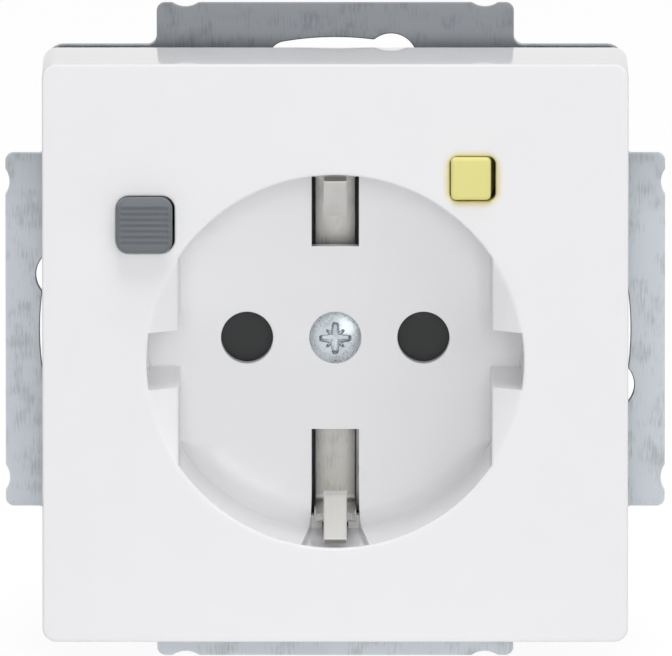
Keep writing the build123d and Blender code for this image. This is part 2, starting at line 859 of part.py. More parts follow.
# Pivot pins, pressed into the carrier and headed over the piece that turns on them
for name, x, y, radius, top in (
    ("rocker_pin", rocker_x, rocker_y, rocker_pin_radius, rocker_top),
    ("latch_pin", latch_x, latch_y, latch_pin_radius, latch_bottom + latch_thickness),
):
    with BuildPart() as pivot_pin:
        post(x, y, radius, (pin_root_z, top + moving_gap))
        post(x, y, radius + pin_head_margin, (top + moving_gap, top + moving_gap + pin_head_height))
    finish(pivot_pin.part, name)

# Terminals: brass blocks, each with a wire bore from the rear and a clamp screw from below
for x, name in zip(terminal_centres, ("line_terminal", "earth_terminal", "neutral_terminal")):
    with BuildPart() as terminal:
        slab(
            (x - terminal_width / 2, x + terminal_width / 2),
            (terminal_front, terminal_back),
            (terminal_bottom, terminal_top),
        )
        rod(x, wire_z, wire_radius, (terminal_back - wire_depth, terminal_back), mode=Mode.SUBTRACT)
        post(x, clamp_y, clamp_screw_radius + running_fit, (terminal_bottom, wire_z), mode=Mode.SUBTRACT)
    finish(terminal.part, name)
clamp_tip = wire_z - wire_radius - moving_gap
with BuildPart() as terminal_screws:
    for x in terminal_centres:
        post(x, clamp_y, clamp_screw_radius, (terminal_bottom, clamp_tip))
        post(x, clamp_y, clamp_screw_head, (terminal_bottom - clamp_screw_head_height, terminal_bottom))
        slab(
            (x - clamp_screw_head, x + clamp_screw_head),
            (clamp_y - clamp_screw_head / 6, clamp_y + clamp_screw_head / 6),
            (terminal_bottom - clamp_screw_head_height, terminal_bottom - clamp_screw_head_height / 2),
            mode=Mode.SUBTRACT,
        )
finish(terminal_screws.part, "terminal_screws")

# Conductor bars: each runs through the transformer, then over the deck's rear to a fixed contact
fixed_contact_x = contact_x - contact_shift
feed_z = (transformer_z - bar_width / 2, transformer_z + bar_width / 2)
for name, side, height in (
    ("line_bar", -1, line_contact_z),
    ("neutral_bar", 1, neutral_contact_z),
):
    feed_x = transformer_x + side * feed_spacing / 2
    feed_range = (feed_x - feed_thickness / 2, feed_x + feed_thickness / 2)
    corner_x = side * bar_side_x
    with BuildPart() as bar:
        with BuildSketch(facing(bar_back)):
            with BuildLine():
                Polyline(
                    (feed_x, transformer_z),
                    (corner_x, transformer_z),
                    (corner_x, height),
                    (fixed_contact_x, height),
                )
            trace(line_width=bar_width)
            with Locations((fixed_contact_x, height)):
                Circle(tip_radius)
            with Locations((corner_x, transformer_z), (corner_x, height)):
                Circle(bar_width / 2)
        extrude(amount=bar_thickness)
        if side < 0:
            slab(feed_range, (deck_back, terminal_front), feed_z)
        else:
            crossing_back = terminal_front - feed_turn
            end_x = terminal_x - terminal_width / 4
            slab(feed_range, (deck_back, crossing_back), feed_z)
            slab((feed_range[0], end_x), (crossing_back - bar_thickness, crossing_back), feed_z)
            slab((end_x - feed_thickness, end_x), (crossing_back - bar_thickness, terminal_front), feed_z)
    finish(bar.part, name)

# Earth link: bent strip from the earth terminal forward to the rear of the bracket
with BuildPart() as earth_link:
    link_bottom = link_z - strap_thickness / 2
    slab(link_range, (deck_front, terminal_front), (link_bottom, link_bottom + strap_thickness))
    slab(link_range, (deck_front, deck_front + strap_thickness), (link_bottom, link_foot_top))
finish(earth_link.part, "earth_link")

# Summation transformer: ring core in its winding, round both conductor bars
winding_front = bar_back + moving_gap
core_front = winding_front + winding_build
winding_length = core_length + 2 * winding_build
with BuildPart() as transformer_core:
    core_range = (core_front, core_front + core_length)
    rod(transformer_x, transformer_z, core_outer, core_range)
    rod(transformer_x, transformer_z, core_inner, core_range, mode=Mode.SUBTRACT)
finish(transformer_core.part, "transformer_core")
with BuildPart() as transformer_winding:
    winding_range = (winding_front, winding_front + winding_length)
    rod(transformer_x, transformer_z, core_outer + winding_build, winding_range)
    rod(transformer_x, transformer_z, core_inner - winding_build, winding_range, mode=Mode.SUBTRACT)
    with BuildSketch(facing(core_front + core_length, transformer_x, transformer_z)):
        Circle(core_outer)
        Circle(core_inner, mode=Mode.SUBTRACT)
    extrude(amount=core_length, mode=Mode.SUBTRACT)
finish(transformer_winding.part, "transformer_winding")

# Contact rocker: insulating lever, pressed by the reset stem at its left end
pad_end = reset_x - reset_stem_radius - pad_margin / 2
pad_half = reset_stem_radius + pad_margin
rocker_depths = (rocker_front, rocker_back)
rocker_heights = (rocker_bottom, rocker_top)
with BuildPart() as contact_rocker:
    slab((rocker_left, rocker_right), rocker_depths, rocker_heights)
    slab((pad_end, rocker_left), rocker_depths, (reset_z - pad_half, reset_z + pad_half))
    post(rocker_x, rocker_y, rocker_hub, rocker_heights)
    post(rocker_x, rocker_y, rocker_pin_radius + running_fit, rocker_heights, mode=Mode.SUBTRACT)
finish(contact_rocker.part, "contact_rocker")
coil_spring(
    "rocker_spring",
    facing(rocker_front, rocker_x + rocker_spring_arm, rocker_spring_z),
    rocker_spring_radius,
    wire_mid,
    rocker_front - deck_back,
    4,
)

# Moving contacts on the rocker, and the contact tips
strip_end = contact_x + tip_radius + moving_gap
for name, start, height in (
    ("line_moving_contact", line_strip_x, line_contact_z),
    ("neutral_moving_contact", neutral_strip_x, neutral_contact_z),
):
    with BuildPart() as moving_contact:
        strip_heights = (height - strip_width / 2, height + strip_width / 2)
        slab((start, strip_end), (strip_front, rocker_front), strip_heights)
    finish(moving_contact.part, name)
with BuildPart() as moving_tips:
    for height in (line_contact_z, neutral_contact_z):
        rod(contact_x, height, tip_radius, (moving_tip_front, strip_front))
finish(moving_tips.part, "moving_tips")
with BuildPart() as fixed_tips:
    for height in (line_contact_z, neutral_contact_z):
        rod(fixed_contact_x, height, tip_radius, (bar_back, bar_back + fixed_tip_height))
finish(fixed_tips.part, "fixed_tips")

# Flexible leads from the moving contacts to the tags of the pin contacts
lead_front = strip_front - lead_drop
lead_back = sleeve_back + tag_length - lead_radius - moving_gap / 3
tag_top = well_axis_z + sleeve_outer
for name, start, height, pin in (
    ("line_lead", line_strip_x, line_contact_z, -pin_x),
    ("neutral_lead", neutral_strip_x, neutral_contact_z, pin_x),
):
    lead_x = start + strip_width / 2
    with BuildPart() as lead:
        wire_run(
            [
                (lead_x, strip_front, height),
                (lead_x, lead_front, height),
                (lead_x, lead_front, lead_z),
                (lead_x, lead_back, lead_z),
                (pin, lead_back, lead_z),
                (pin, lead_back, tag_top),
            ],
            lead_bend,
            lead_radius,
        )
    finish(lead.part, name)

# Trip relay: U-shaped yoke with two ears for the armature's pin
yoke_left = relay_x - yoke_width / 2
yoke_right = relay_x + yoke_width / 2
yoke_heights = (relay_z - yoke_height / 2, relay_z + yoke_height / 2)
yoke_front = armature_front + armature_thickness + armature_gap
yoke_seat = shell_inner_back - yoke_wall
armature_pin_x = yoke_right - armature_pin_inset
armature_pin_y = armature_front + armature_thickness / 2
ear_outer = yoke_height / 2 + moving_gap + ear_thickness
leg_range = (yoke_right - yoke_wall, yoke_right)
ear_root = yoke_front + moving_gap
with BuildPart() as relay_yoke:
    slab((yoke_left, yoke_right), (yoke_seat, shell_inner_back), yoke_heights)
    slab((yoke_left, yoke_left + yoke_wall), (yoke_front, yoke_seat), yoke_heights)
    slab(leg_range, (yoke_front, yoke_seat), yoke_heights)
    slab(leg_range, (ear_root, ear_root + yoke_wall), (relay_z - ear_outer, relay_z + ear_outer))
    for side in (-1, 1):
        ear_heights = sorted((relay_z + side * ear_outer, relay_z + side * (ear_outer - ear_thickness)))
        slab(leg_range, (armature_front, ear_root + yoke_wall), ear_heights)
        post(armature_pin_x, armature_pin_y, armature_pin_radius, ear_heights, mode=Mode.SUBTRACT)
finish(relay_yoke.part, "relay_yoke")
with BuildPart() as relay_core:
    rod(relay_x, relay_z, relay_core_radius, (yoke_front, yoke_seat))
finish(relay_core.part, "relay_core")
bobbin_front = yoke_front + moving_gap
tube_radius = relay_core_radius + running_fit + bobbin_tube
with BuildPart() as relay_bobbin:
    rod(relay_x, relay_z, tube_radius, (bobbin_front, yoke_seat))
    rod(relay_x, relay_z, bobbin_radius, (bobbin_front, bobbin_front + bobbin_flange))
    rod(relay_x, relay_z, bobbin_radius, (yoke_seat - bobbin_flange, yoke_seat))
    rod(relay_x, relay_z, relay_core_radius + running_fit, (bobbin_front, yoke_seat), mode=Mode.SUBTRACT)
finish(relay_bobbin.part, "relay_bobbin")
coil_range = (bobbin_front + bobbin_flange, yoke_seat - bobbin_flange)
with BuildPart() as relay_coil:
    rod(relay_x, relay_z, coil_radius, coil_range)
    rod(relay_x, relay_z, tube_radius, coil_range, mode=Mode.SUBTRACT)
finish(relay_coil.part, "relay_coil")
with BuildPart() as relay_armature:
    slab(
        (yoke_left - armature_overhang, yoke_right + armature_overhang),
        (armature_front, armature_front + armature_thickness),
        yoke_heights,
    )
    pivot_radius = armature_pin_radius + running_fit
    post(armature_pin_x, armature_pin_y, pivot_radius, yoke_heights, mode=Mode.SUBTRACT)
finish(relay_armature.part, "relay_armature")
with BuildPart() as armature_pin:
    post(armature_pin_x, armature_pin_y, armature_pin_radius, (relay_z - ear_outer, relay_z + ear_outer))
finish(armature_pin.part, "armature_pin")

# Latch lever: the hook stands beside the rocker's end, the tail reaches in front of the armature
hook_x = rocker_right + seat_gap + running_fit
hook_y = latch_y - latch_reach
tail_x = latch_x - tail_reach
tail_y = armature_front - seat_gap
with BuildPart() as latch_lever:
    with BuildSketch(level(latch_bottom)):
        with Locations((latch_x, latch_y)):
            Circle(latch_hub)
        Polygon(
            (latch_x - latch_hub * 0.7, latch_y - latch_pin_radius),
            (latch_x + latch_hub * 0.4, latch_y - latch_pin_radius),
            (latch_x - running_fit * 4, hook_y),
            (hook_x, hook_y),
            (hook_x, hook_y + latch_arm),
            (latch_x - latch_arm - moving_gap, hook_y + latch_arm + moving_gap),
            align=None,
        )
        Polygon(
            (latch_x - latch_pin_radius, latch_y),
            (latch_x - latch_pin_radius, latch_y + latch_hub * 0.8),
            (tail_x, tail_y),
            (tail_x, tail_y - latch_arm),
            align=None,
        )
        with Locations((latch_x, latch_y)):
            Circle(latch_pin_radius + running_fit, mode=Mode.SUBTRACT)
    extrude(amount=latch_thickness)
finish(latch_lever.part, "latch_lever")
coil_spring(
    "latch_spring",
    sideways(latch_spring_x, latch_spring_y, latch_bottom + latch_thickness / 2),
    latch_spring_radius,
    wire_thin,
    latch_spring_length,
    4,
)

# Test circuit: bent leaf over the test stem's end, and a resistor that stands on its leads
leaf_heights = (test_z - leaf_width / 2, test_z + leaf_width / 2)
riser_x = test_x - leaf_arm
with BuildPart() as test_leaf:
    slab((riser_x - leaf_foot, riser_x), (deck_back, deck_back + leaf_thickness), leaf_heights)
    slab((riser_x, riser_x + leaf_thickness), (deck_back, leaf_y + leaf_thickness), leaf_heights)
    slab((riser_x + leaf_thickness, test_x + leaf_overlap), (leaf_y, leaf_y + leaf_thickness), leaf_heights)
finish(test_leaf.part, "test_leaf")
resistor_x = test_x - resistor_shift
resistor_z = module_half - shell_wall - resistor_radius - moving_gap
resistor_start = resistor_x - resistor_length / 2
test_contact_y = leaf_y + leaf_thickness + test_travel + moving_gap
foot_x = resistor_start - resistor_bend - resistor_lead / 2
reach_x = resistor_start + resistor_length + resistor_bend + resistor_lead
with BuildPart() as test_resistor:
    with BuildSketch(sideways(resistor_start, resistor_y, resistor_z)):
        Circle(resistor_radius)
    extrude(amount=resistor_length)
    wire_run(
        [
            (resistor_x, resistor_y, resistor_z),
            (foot_x, resistor_y, resistor_z),
            (foot_x, deck_back, resistor_z),
        ],
        resistor_bend,
        resistor_lead,
    )
    wire_run(
        [
            (resistor_x, resistor_y, resistor_z),
            (reach_x, resistor_y, resistor_z),
            (reach_x, resistor_y, test_z),
            (reach_x, test_contact_y, test_z),
        ],
        resistor_bend,
        resistor_lead,
    )
finish(test_resistor.part, "test_resistor")
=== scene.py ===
import math

import bmesh
import bpy
import numpy as np
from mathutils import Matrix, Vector
from mathutils.geometry import delaunay_2d_cdt


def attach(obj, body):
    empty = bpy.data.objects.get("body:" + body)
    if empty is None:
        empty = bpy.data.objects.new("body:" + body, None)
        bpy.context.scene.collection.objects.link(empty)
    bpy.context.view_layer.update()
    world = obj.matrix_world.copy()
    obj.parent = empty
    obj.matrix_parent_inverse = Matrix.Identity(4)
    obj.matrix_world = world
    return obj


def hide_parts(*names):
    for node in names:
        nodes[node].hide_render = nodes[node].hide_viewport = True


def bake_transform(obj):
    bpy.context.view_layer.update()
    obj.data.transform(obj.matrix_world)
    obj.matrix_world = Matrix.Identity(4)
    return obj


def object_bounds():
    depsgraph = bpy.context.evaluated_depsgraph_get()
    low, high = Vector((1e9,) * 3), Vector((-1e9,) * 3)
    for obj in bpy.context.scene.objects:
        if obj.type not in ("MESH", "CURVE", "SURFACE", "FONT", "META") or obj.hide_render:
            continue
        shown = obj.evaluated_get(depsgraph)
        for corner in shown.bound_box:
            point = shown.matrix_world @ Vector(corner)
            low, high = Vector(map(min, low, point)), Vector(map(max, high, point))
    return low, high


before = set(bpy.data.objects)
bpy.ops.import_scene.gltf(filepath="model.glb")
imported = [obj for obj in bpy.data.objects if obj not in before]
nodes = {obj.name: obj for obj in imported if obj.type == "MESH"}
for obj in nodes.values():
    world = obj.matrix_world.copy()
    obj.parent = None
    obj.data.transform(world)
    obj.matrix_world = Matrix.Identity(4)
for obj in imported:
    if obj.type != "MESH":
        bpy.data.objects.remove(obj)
cad_low, cad_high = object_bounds()
mm = 0.001


# Support ring
# One millimetre galvanised sheet steel, punched out in one stroke: four tabs that rest on the
# wall, four keyhole slots for the box screws. The zinc is dull, with streaks along the rolling.


def linked(material, start, end):
    """Joins one node's output socket to another node's input socket."""
    material.node_tree.links.new(start, end)


def new_node(material, kind):
    """A new node of this kind among the material's own."""
    return material.node_tree.nodes.new("ShaderNode" + kind)


def blank(name, roughness=0.5, metallic=0.0):
    """A new material with its shader, and the Object coordinates that its patterns read."""
    material = bpy.data.materials.new(name)
    material.use_nodes = True
    shader = material.node_tree.nodes["Principled BSDF"]
    shader.inputs["Roughness"].default_value = roughness
    shader.inputs["Metallic"].default_value = metallic
    return material, shader, new_node(material, "TexCoord").outputs["Object"]


def grain(material, place, size, stretch=(1, 1, 1), detail=3):
    """Noise from 0 to 1 whose spots are about size across, drawn out along an axis by stretch."""
    mapping = new_node(material, "Mapping")
    mapping.inputs["Scale"].default_value = [1 / share for share in stretch]
    noise = new_node(material, "TexNoise")
    noise.inputs["Scale"].default_value = 1 / size
    noise.inputs["Detail"].default_value = detail
    linked(material, place, mapping.inputs["Vector"])
    linked(material, mapping.outputs["Vector"], noise.inputs["Vector"])
    return noise.outputs["Fac"]


def tinted(material, shares, dark, light, low=0.3, high=0.7):
    """Colours between dark and light, by shares that run from low to high."""
    ramp = new_node(material, "ValToRGB")
    for stop, share, colour in zip(ramp.color_ramp.elements, (low, high), (dark, light)):
        stop.position = share
        stop.color = (*colour, 1)
    linked(material, shares, ramp.inputs["Fac"])
    return ramp.outputs["Color"]


def spread(material, value, low, high, start=0.25, end=0.75, kind="LINEAR"):
    """Numbers from low to high, as a value goes from start to end."""
    span = new_node(material, "MapRange")
    span.interpolation_type = kind
    for socket, number in (("From Min", start), ("From Max", end), ("To Min", low), ("To Max", high)):
        span.inputs[socket].default_value = number
    linked(material, value, span.inputs["Value"])
    return span.outputs["Result"]


def worked_out(material, kind, first, second=0.0):
    """One Math node of this kind on two values, each a socket or a number."""
    sum_node = new_node(material, "Math")
    sum_node.operation = kind
    for value, socket in zip((first, second), sum_node.inputs):
        if isinstance(value, bpy.types.NodeSocket):
            linked(material, value, socket)
        else:
            socket.default_value = value
    return sum_node.outputs[0]


def along_axis(material, axis):
    """How far each point lies along one of the object's axes."""
    place = [node for node in material.node_tree.nodes if node.type == "TEX_COORD"][0]
    split = new_node(material, "SeparateXYZ")
    linked(material, place.outputs["Object"], split.inputs["Vector"])
    return split.outputs[axis]


def overlaid(material, share, colour, blend="MIX"):
    """Lays a colour over the material's own one, by a share from 0 to 1."""
    own = material.node_tree.nodes["Principled BSDF"].inputs["Base Color"]
    mix = new_node(material, "Mix")
    mix.data_type = "RGBA"
    mix.blend_type = blend
    mix.inputs[7].default_value = (*colour, 1)
    linked(material, share, mix.inputs[0])
    linked(material, own.links[0].from_socket, mix.inputs[6])
    linked(material, mix.outputs[2], own)


def raised(material, shader, heights, height):
    """Raises the surface by up to this height where heights is 1, as a bump."""
    bump = new_node(material, "Bump")
    bump.inputs["Distance"].default_value = height
    bump.inputs["Strength"].default_value = 1.0
    linked(material, heights, bump.inputs["Height"])
    linked(material, bump.outputs["Normal"], shader.inputs["Normal"])


def rolled_metal(name, dark, light, roughness, streak, along=(1, 1, 1)):
    """Sheet or bar metal with fine streaks of this width, drawn out by along, and wider clouds."""
    material, shader, place = blank(name, metallic=1.0)
    streaks = grain(material, place, streak, along, detail=4)
    clouds = grain(material, place, 12 * streak, detail=2)
    both = worked_out(material, "ADD", streaks, clouds)
    linked(material, tinted(material, both, dark, light, 0.7, 1.3), shader.inputs["Base Color"])
    rough = spread(material, streaks, roughness - 0.06, roughness + 0.08)
    linked(material, rough, shader.inputs["Roughness"])
    raised(material, shader, streaks, 0.004 * mm)
    return material


def smoothed(mesh):
    """Shades every face smooth."""
    mesh.polygons.foreach_set("use_smooth", np.ones(len(mesh.polygons), bool))


def corners_of(piece):
    """The piece's corners in millimetres, one row each."""
    corners = np.empty(3 * len(piece.data.vertices))
    piece.data.vertices.foreach_get("co", corners)
    return corners.reshape(-1, 3) / mm


def added(name, data):
    """A new object of the scene with this mesh, light or camera."""
    made = bpy.data.objects.new(name, data)
    bpy.context.scene.collection.objects.link(made)
    return made


def eased_copy(node, piece, edge, body="socket_body"):
    """A copy of a CAD node with its corners joined and its flat faces whole, whose edges sharper than
    30 degrees are rounded by a bevel of this width."""
    mesh = nodes[node].data.copy()
    mesh.name = piece
    if "custom_normal" in mesh.attributes:
        mesh.attributes.remove(mesh.attributes["custom_normal"])
    work = bmesh.new()
    work.from_mesh(mesh)
    bmesh.ops.remove_doubles(work, verts=work.verts, dist=0.002 * mm)
    bmesh.ops.dissolve_limit(work, angle_limit=math.radians(0.5), verts=work.verts, edges=work.edges)
    work.to_mesh(mesh)
    work.free()
    smoothed(mesh)
    made = added(piece, mesh)
    bevel = made.modifiers.new("edges", "BEVEL")
    bevel.width = edge
    bevel.segments = 3
    bevel.limit_method = "ANGLE"
    bevel.angle_limit = math.radians(30)
    bevel.use_clamp_overlap = False
    bevel.harden_normals = True
    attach(made, body)
    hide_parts(node)
    return made


def dressed(piece, material):
    """Gives a piece its material."""
    piece.data.materials.clear()
    piece.data.materials.append(material)


galvanised = rolled_metal(
    "galvanised_sheet", (0.47, 0.50, 0.53), (0.63, 0.675, 0.715), 0.40, 0.2 * mm, (1, 1, 9)
)
# painted shade: the zinc is darkened toward the upper tab
painted_top_shade = spread(galvanised, along_axis(galvanised, "Z"), 0.0, 1.0, 12 * mm, 34 * mm)
overlaid(galvanised, painted_top_shade, (0.48, 0.475, 0.48), "MULTIPLY")
sheet_edge, corner_round, tolerance = 0.12, 1.8, 0.01
ring = eased_copy("support_ring", "ring_sheet", sheet_edge * mm)
# the plate's four corners, which lie on its diagonals between the tabs, are rounded
places = np.abs(corners_of(ring)[:, [0, 2]])
plate_half = places[np.abs(places[:, 0] - places[:, 1]) < tolerance, 0].max()
at_corner = (np.abs(places - plate_half) < tolerance).all(axis=1)
ends = np.empty(2 * len(ring.data.edges), np.int32)
ring.data.edges.foreach_get("vertices", ends)
chosen = np.flatnonzero(at_corner[ends.reshape(-1, 2)].all(axis=1)).tolist()
punched = bmesh.new()
punched.from_mesh(ring.data)
punched.edges.ensure_lookup_table()
geom = [punched.edges[index] for index in chosen]
bmesh.ops.bevel(punched, geom=geom, offset=corner_round * mm, segments=6, profile=0.5, affect="EDGES")
punched.to_mesh(ring.data)
punched.free()
smoothed(ring.data)
dressed(ring, galvanised)

# Module housing
# Two halves of dark grey glass-filled plastic that close round the works behind the ring. The
# front half's flange is screwed on the ring, and four long screws pull the rear half against it.


def moulded(name, colour, roughness, mottle=0.03, pit=0.25 * mm, depth=0.004 * mm):
    """Moulded plastic: one colour that varies a little, with the fine pitted skin of the mould."""
    material, shader, place = blank(name)
    clouds = grain(material, place, 6 * mm, detail=2)
    skin = grain(material, place, pit, detail=2)
    dark = [share * (1 - mottle) for share in colour]
    light = [min(1.0, share * (1 + mottle)) for share in colour]
    linked(material, tinted(material, clouds, dark, light), shader.inputs["Base Color"])
    linked(material, spread(material, skin, roughness * 0.9, roughness * 1.15), shader.inputs["Roughness"])
    raised(material, shader, skin, depth)
    return material


housing = moulded("housing_plastic", (0.085, 0.090, 0.095), 0.5, 0.08, 0.3 * mm, 0.012 * mm)
for node, piece in (("front_shell", "housing_front"), ("rear_shell", "housing_rear")):
    dressed(eased_copy(node, piece, 0.25 * mm), housing)

# Screws and pins
# Turned steel with a zinc plate: the screws that hold the housing, the ring and the wires, and the
# two pins that the contact rocker and the latch turn on.
zinc = rolled_metal("zinc_plate", (0.42, 0.46, 0.47), (0.62, 0.67, 0.68), 0.28, 0.3 * mm)
for node in ("ring_screws", "shell_screws", "terminal_screws", "rocker_pin", "latch_pin"):
    dressed(nodes[node], zinc)

# Pin contacts and their carrier
# Slit brass sleeves that grip the plug's pins, held in a block of cream plastic on the deck. The
# block also carries the pivots of the contact rocker and of the latch.
cream = moulded("carrier_plastic", (0.66, 0.60, 0.47), 0.45, 0.04)
dressed(nodes["contact_carrier"], cream)
brass = rolled_metal("pressed_brass", (0.58, 0.42, 0.17), (0.78, 0.60, 0.27), 0.3, 0.3 * mm, (1, 8, 1))
for node in (
    "line_pin_contact", "neutral_pin_contact",
    "line_terminal", "neutral_terminal", "earth_terminal",
):
    dressed(nodes[node], brass)

# Conductors
# Copper bars that run through the transformer to the fixed contacts, sprung moving contacts with
# silver tips, and flexible copper leads back to the sleeves.


def sheet_of(rows, closed=False):
    """Quads on a grid of points, rows by columns, joined round at its ends if it is closed."""
    high, wide = rows.shape[:2]
    index = np.arange(high * wide).reshape(high, wide)
    if closed:
        index = np.concatenate([index, index[:, :1]], axis=1)
    corners = [index[:-1, :-1], index[:-1, 1:], index[1:, 1:], index[1:, :-1]]
    return rows.reshape(-1, 3), np.stack(corners, axis=-1).reshape(-1, 4)


def joined(piece, node, patches, body="socket_body", sharp=35):
    """One closed mesh from patches in millimetres, in a CAD node's place: equal points merged, faces
    turned outwards, smooth but for edges sharper than this angle. Without a body it is not attached."""
    points = np.concatenate([patch[0] for patch in patches]) * mm
    starts = np.cumsum([0] + [len(patch[0]) for patch in patches])
    faces = []
    for start, patch in zip(starts, patches):
        faces += (patch[1] + start).tolist()
    mesh = bpy.data.meshes.new(piece)
    mesh.from_pydata(points, [], faces)
    work = bmesh.new()
    work.from_mesh(mesh)
    bmesh.ops.remove_doubles(work, verts=work.verts, dist=0.004 * mm)
    bmesh.ops.recalc_face_normals(work, faces=work.faces)
    work.to_mesh(mesh)
    work.free()
    smoothed(mesh)
    mesh.set_sharp_from_angle(angle=math.radians(sharp))
    made = added(piece, mesh)
    if body:
        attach(made, body)
    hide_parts(node)
    return made


def run_along(path):
    """How far along a path each of its points lies."""
    return np.concatenate([[0], np.cumsum(np.linalg.norm(np.diff(path, axis=0), axis=1))])


def evenly(path, step):
    """The same path with points at equal steps along its length."""
    run = run_along(path)
    places = np.linspace(0, run[-1], max(2, int(round(run[-1] / step)) + 1))
    return np.stack([np.interp(places, run, path[:, axis]) for axis in range(3)], axis=-1)


def unit(steps):
    """The same ways with a length of 1 each."""
    return steps / np.linalg.norm(steps, axis=-1, keepdims=True)


def bent(points, bend):
    """A path through these points whose corners are arcs of this radius, each turned from the one
    straight into the other by equal angles."""
    points = np.array(points, float)
    parts = [points[:1]]
    for before, corner, after in zip(points[:-2], points[1:-1], points[2:]):
        back, on = unit(before - corner), unit(after - corner)
        half = math.acos(float(back @ on)) / 2
        middle = corner + unit(back + on) * bend / math.sin(half)
        first = corner + back * bend / math.tan(half) - middle
        last = corner + on * bend / math.tan(half) - middle
        turn = math.pi - 2 * half
        share = np.linspace(0, 1, 9)[:, None]
        sides = np.sin((1 - share) * turn) * first + np.sin(share * turn) * last
        parts.append(middle + sides / math.sin(turn))
    parts.append(points[-1:])
    return np.concatenate(parts)


def directions(path):
    """The way that a path runs at each of its points."""
    return unit(np.gradient(path, axis=0))


def round_wire(path, radius, columns=12):
    """A round section carried along a path, each ring square to the path, with domed ends: there the
    rings shrink by the cosine while they move on by the sine."""
    rounds = np.radians([90, 60, 30])
    way = directions(path)
    head = path[0] - radius * np.sin(rounds)[:, None] * way[0]
    tail = path[-1] + radius * np.sin(rounds[::-1])[:, None] * way[-1]
    size = np.concatenate([np.cos(rounds), np.ones(len(path)), np.cos(rounds[::-1])]) * radius
    line = np.concatenate([head, path, tail])
    way = np.pad(way, ((len(rounds), len(rounds)), (0, 0)), "edge")
    # no path here runs along this slanted line, so what is square to both is never nothing
    across = unit(np.cross(way, (1, 1, 1)))
    over = np.cross(way, across)
    angle = np.linspace(0, 2 * np.pi, columns, endpoint=False)[None, :, None]
    ring = np.cos(angle) * across[:, None] + np.sin(angle) * over[:, None]
    return sheet_of(line[:, None] + size[:, None, None] * ring, closed=True)


copper = rolled_metal("bar_copper", (0.66, 0.33, 0.20), (0.88, 0.50, 0.34), 0.3, 0.3 * mm, (6, 1, 1))
for node in ("line_bar", "neutral_bar", "line_moving_contact", "neutral_moving_contact"):
    dressed(nodes[node], copper)
silver = rolled_metal("contact_silver", (0.72, 0.71, 0.68), (0.90, 0.89, 0.86), 0.22, 0.2 * mm)
for node in ("moving_tips", "fixed_tips"):
    dressed(nodes[node], silver)
lead_radius, lead_bend, front_run, back_run, low_run = 0.5, 1.1, 10.763, 22.6, 7.0
for node, x, height, pin in (("line_lead", -5.5, 10.6, -9.5), ("neutral_lead", 1.2, 14.6, 9.5)):
    run = [(x, 12.1, height), (x, front_run, height), (x, front_run, low_run), (x, back_run, low_run)]
    run += [(pin, back_run, low_run), (pin, back_run, 2.3)]
    lead = joined(node + "_wire", node, [round_wire(evenly(bent(run, lead_bend), 0.3), lead_radius)], None)
    dressed(lead, copper)
    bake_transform(lead)

# Summation transformer
# A ring core of dark sintered alloy inside its winding of enamelled wire. The turns lie side by
# side round the ring's section, each a full ridge that runs over the edges.


def rounded_loop(half_width, half_height, corner, centre=(0, 0), steps=8):
    """A rectangle with quarter-round corners, as points round it."""
    turn = np.radians(np.linspace(0, 90, steps + 1))
    arcs = [(1, 1, 0), (-1, 1, 90), (-1, -1, 180), (1, -1, 270)]
    loops = []
    for across, up, start in arcs:
        angle = turn + math.radians(start)
        x = across * (half_width - corner) + corner * np.cos(angle)
        z = up * (half_height - corner) + corner * np.sin(angle)
        loops.append(np.stack([x + centre[0], z + centre[1]], axis=-1))
    return np.concatenate(loops)


def about_axis(radius, angle, depth, x=0, z=0):
    """Points round the line along Y through x, z, each at its depth: the radius times the cosine goes
    to x, and the radius times the sine to z."""
    across, up = radius * np.cos(angle), radius * np.sin(angle)
    return np.stack([x + across, np.broadcast_to(depth, across.shape), z + up], axis=-1)


def enamelled(name, dark, light):
    """Varnished copper wire: a brown that varies from turn to turn, under a clear coat."""
    material, shader, place = blank(name, roughness=0.32)
    mottled = tinted(material, grain(material, place, 0.7 * mm), dark, light)
    linked(material, mottled, shader.inputs["Base Color"])
    shader.inputs["Coat Weight"].default_value = 0.4
    return material


# each turn stands out from the section by a cosine raised to a power below 1, which fills it out
ring_x, ring_z, ring_turns, turn_depth, fullness = -8.6, -15.2, 64, 0.16, 0.8
half_deep, half_high, ring_corner, ring_middle = 3.4, 2.5, 0.9, (11.3, 5.0)
ring_section = rounded_loop(half_deep - turn_depth, half_high - turn_depth, ring_corner, ring_middle, 5)
round_ring = np.linspace(0, 2 * np.pi, 8 * ring_turns, endpoint=False)[:, None]
ridges = turn_depth * np.abs(np.cos(ring_turns * round_ring / 2)) ** fullness
section = ring_section + ridges[..., None] * unit(ring_section - ring_middle)
turns = about_axis(section[..., 1], round_ring, section[..., 0], ring_x, ring_z)
turns = np.concatenate([turns, turns[:1]])
winding = joined("ring_winding", "transformer_winding", [sheet_of(turns, closed=True)])
enamel = enamelled("enamelled_wire", (0.34, 0.10, 0.03), (0.66, 0.27, 0.10))
dressed(winding, enamel)
sintered = moulded("sintered_alloy", (0.05, 0.05, 0.055), 0.6, 0.15, 0.2 * mm, 0.01 * mm)
dressed(nodes["transformer_core"], sintered)

# Trip relay
# A small solenoid: bent steel yoke, core and armature, and a white bobbin whose flanges hold the
# coil, wound in even turns of the same enamelled wire.


def lathed(profile, x, z, steps=64):
    """A profile of radius and depth pairs, turned about the line along Y through x, z."""
    profile = np.array(profile)
    angle = np.linspace(0, 2 * np.pi, steps, endpoint=False)
    return about_axis(profile[:, :1], angle, profile[:, 1:], x, z)


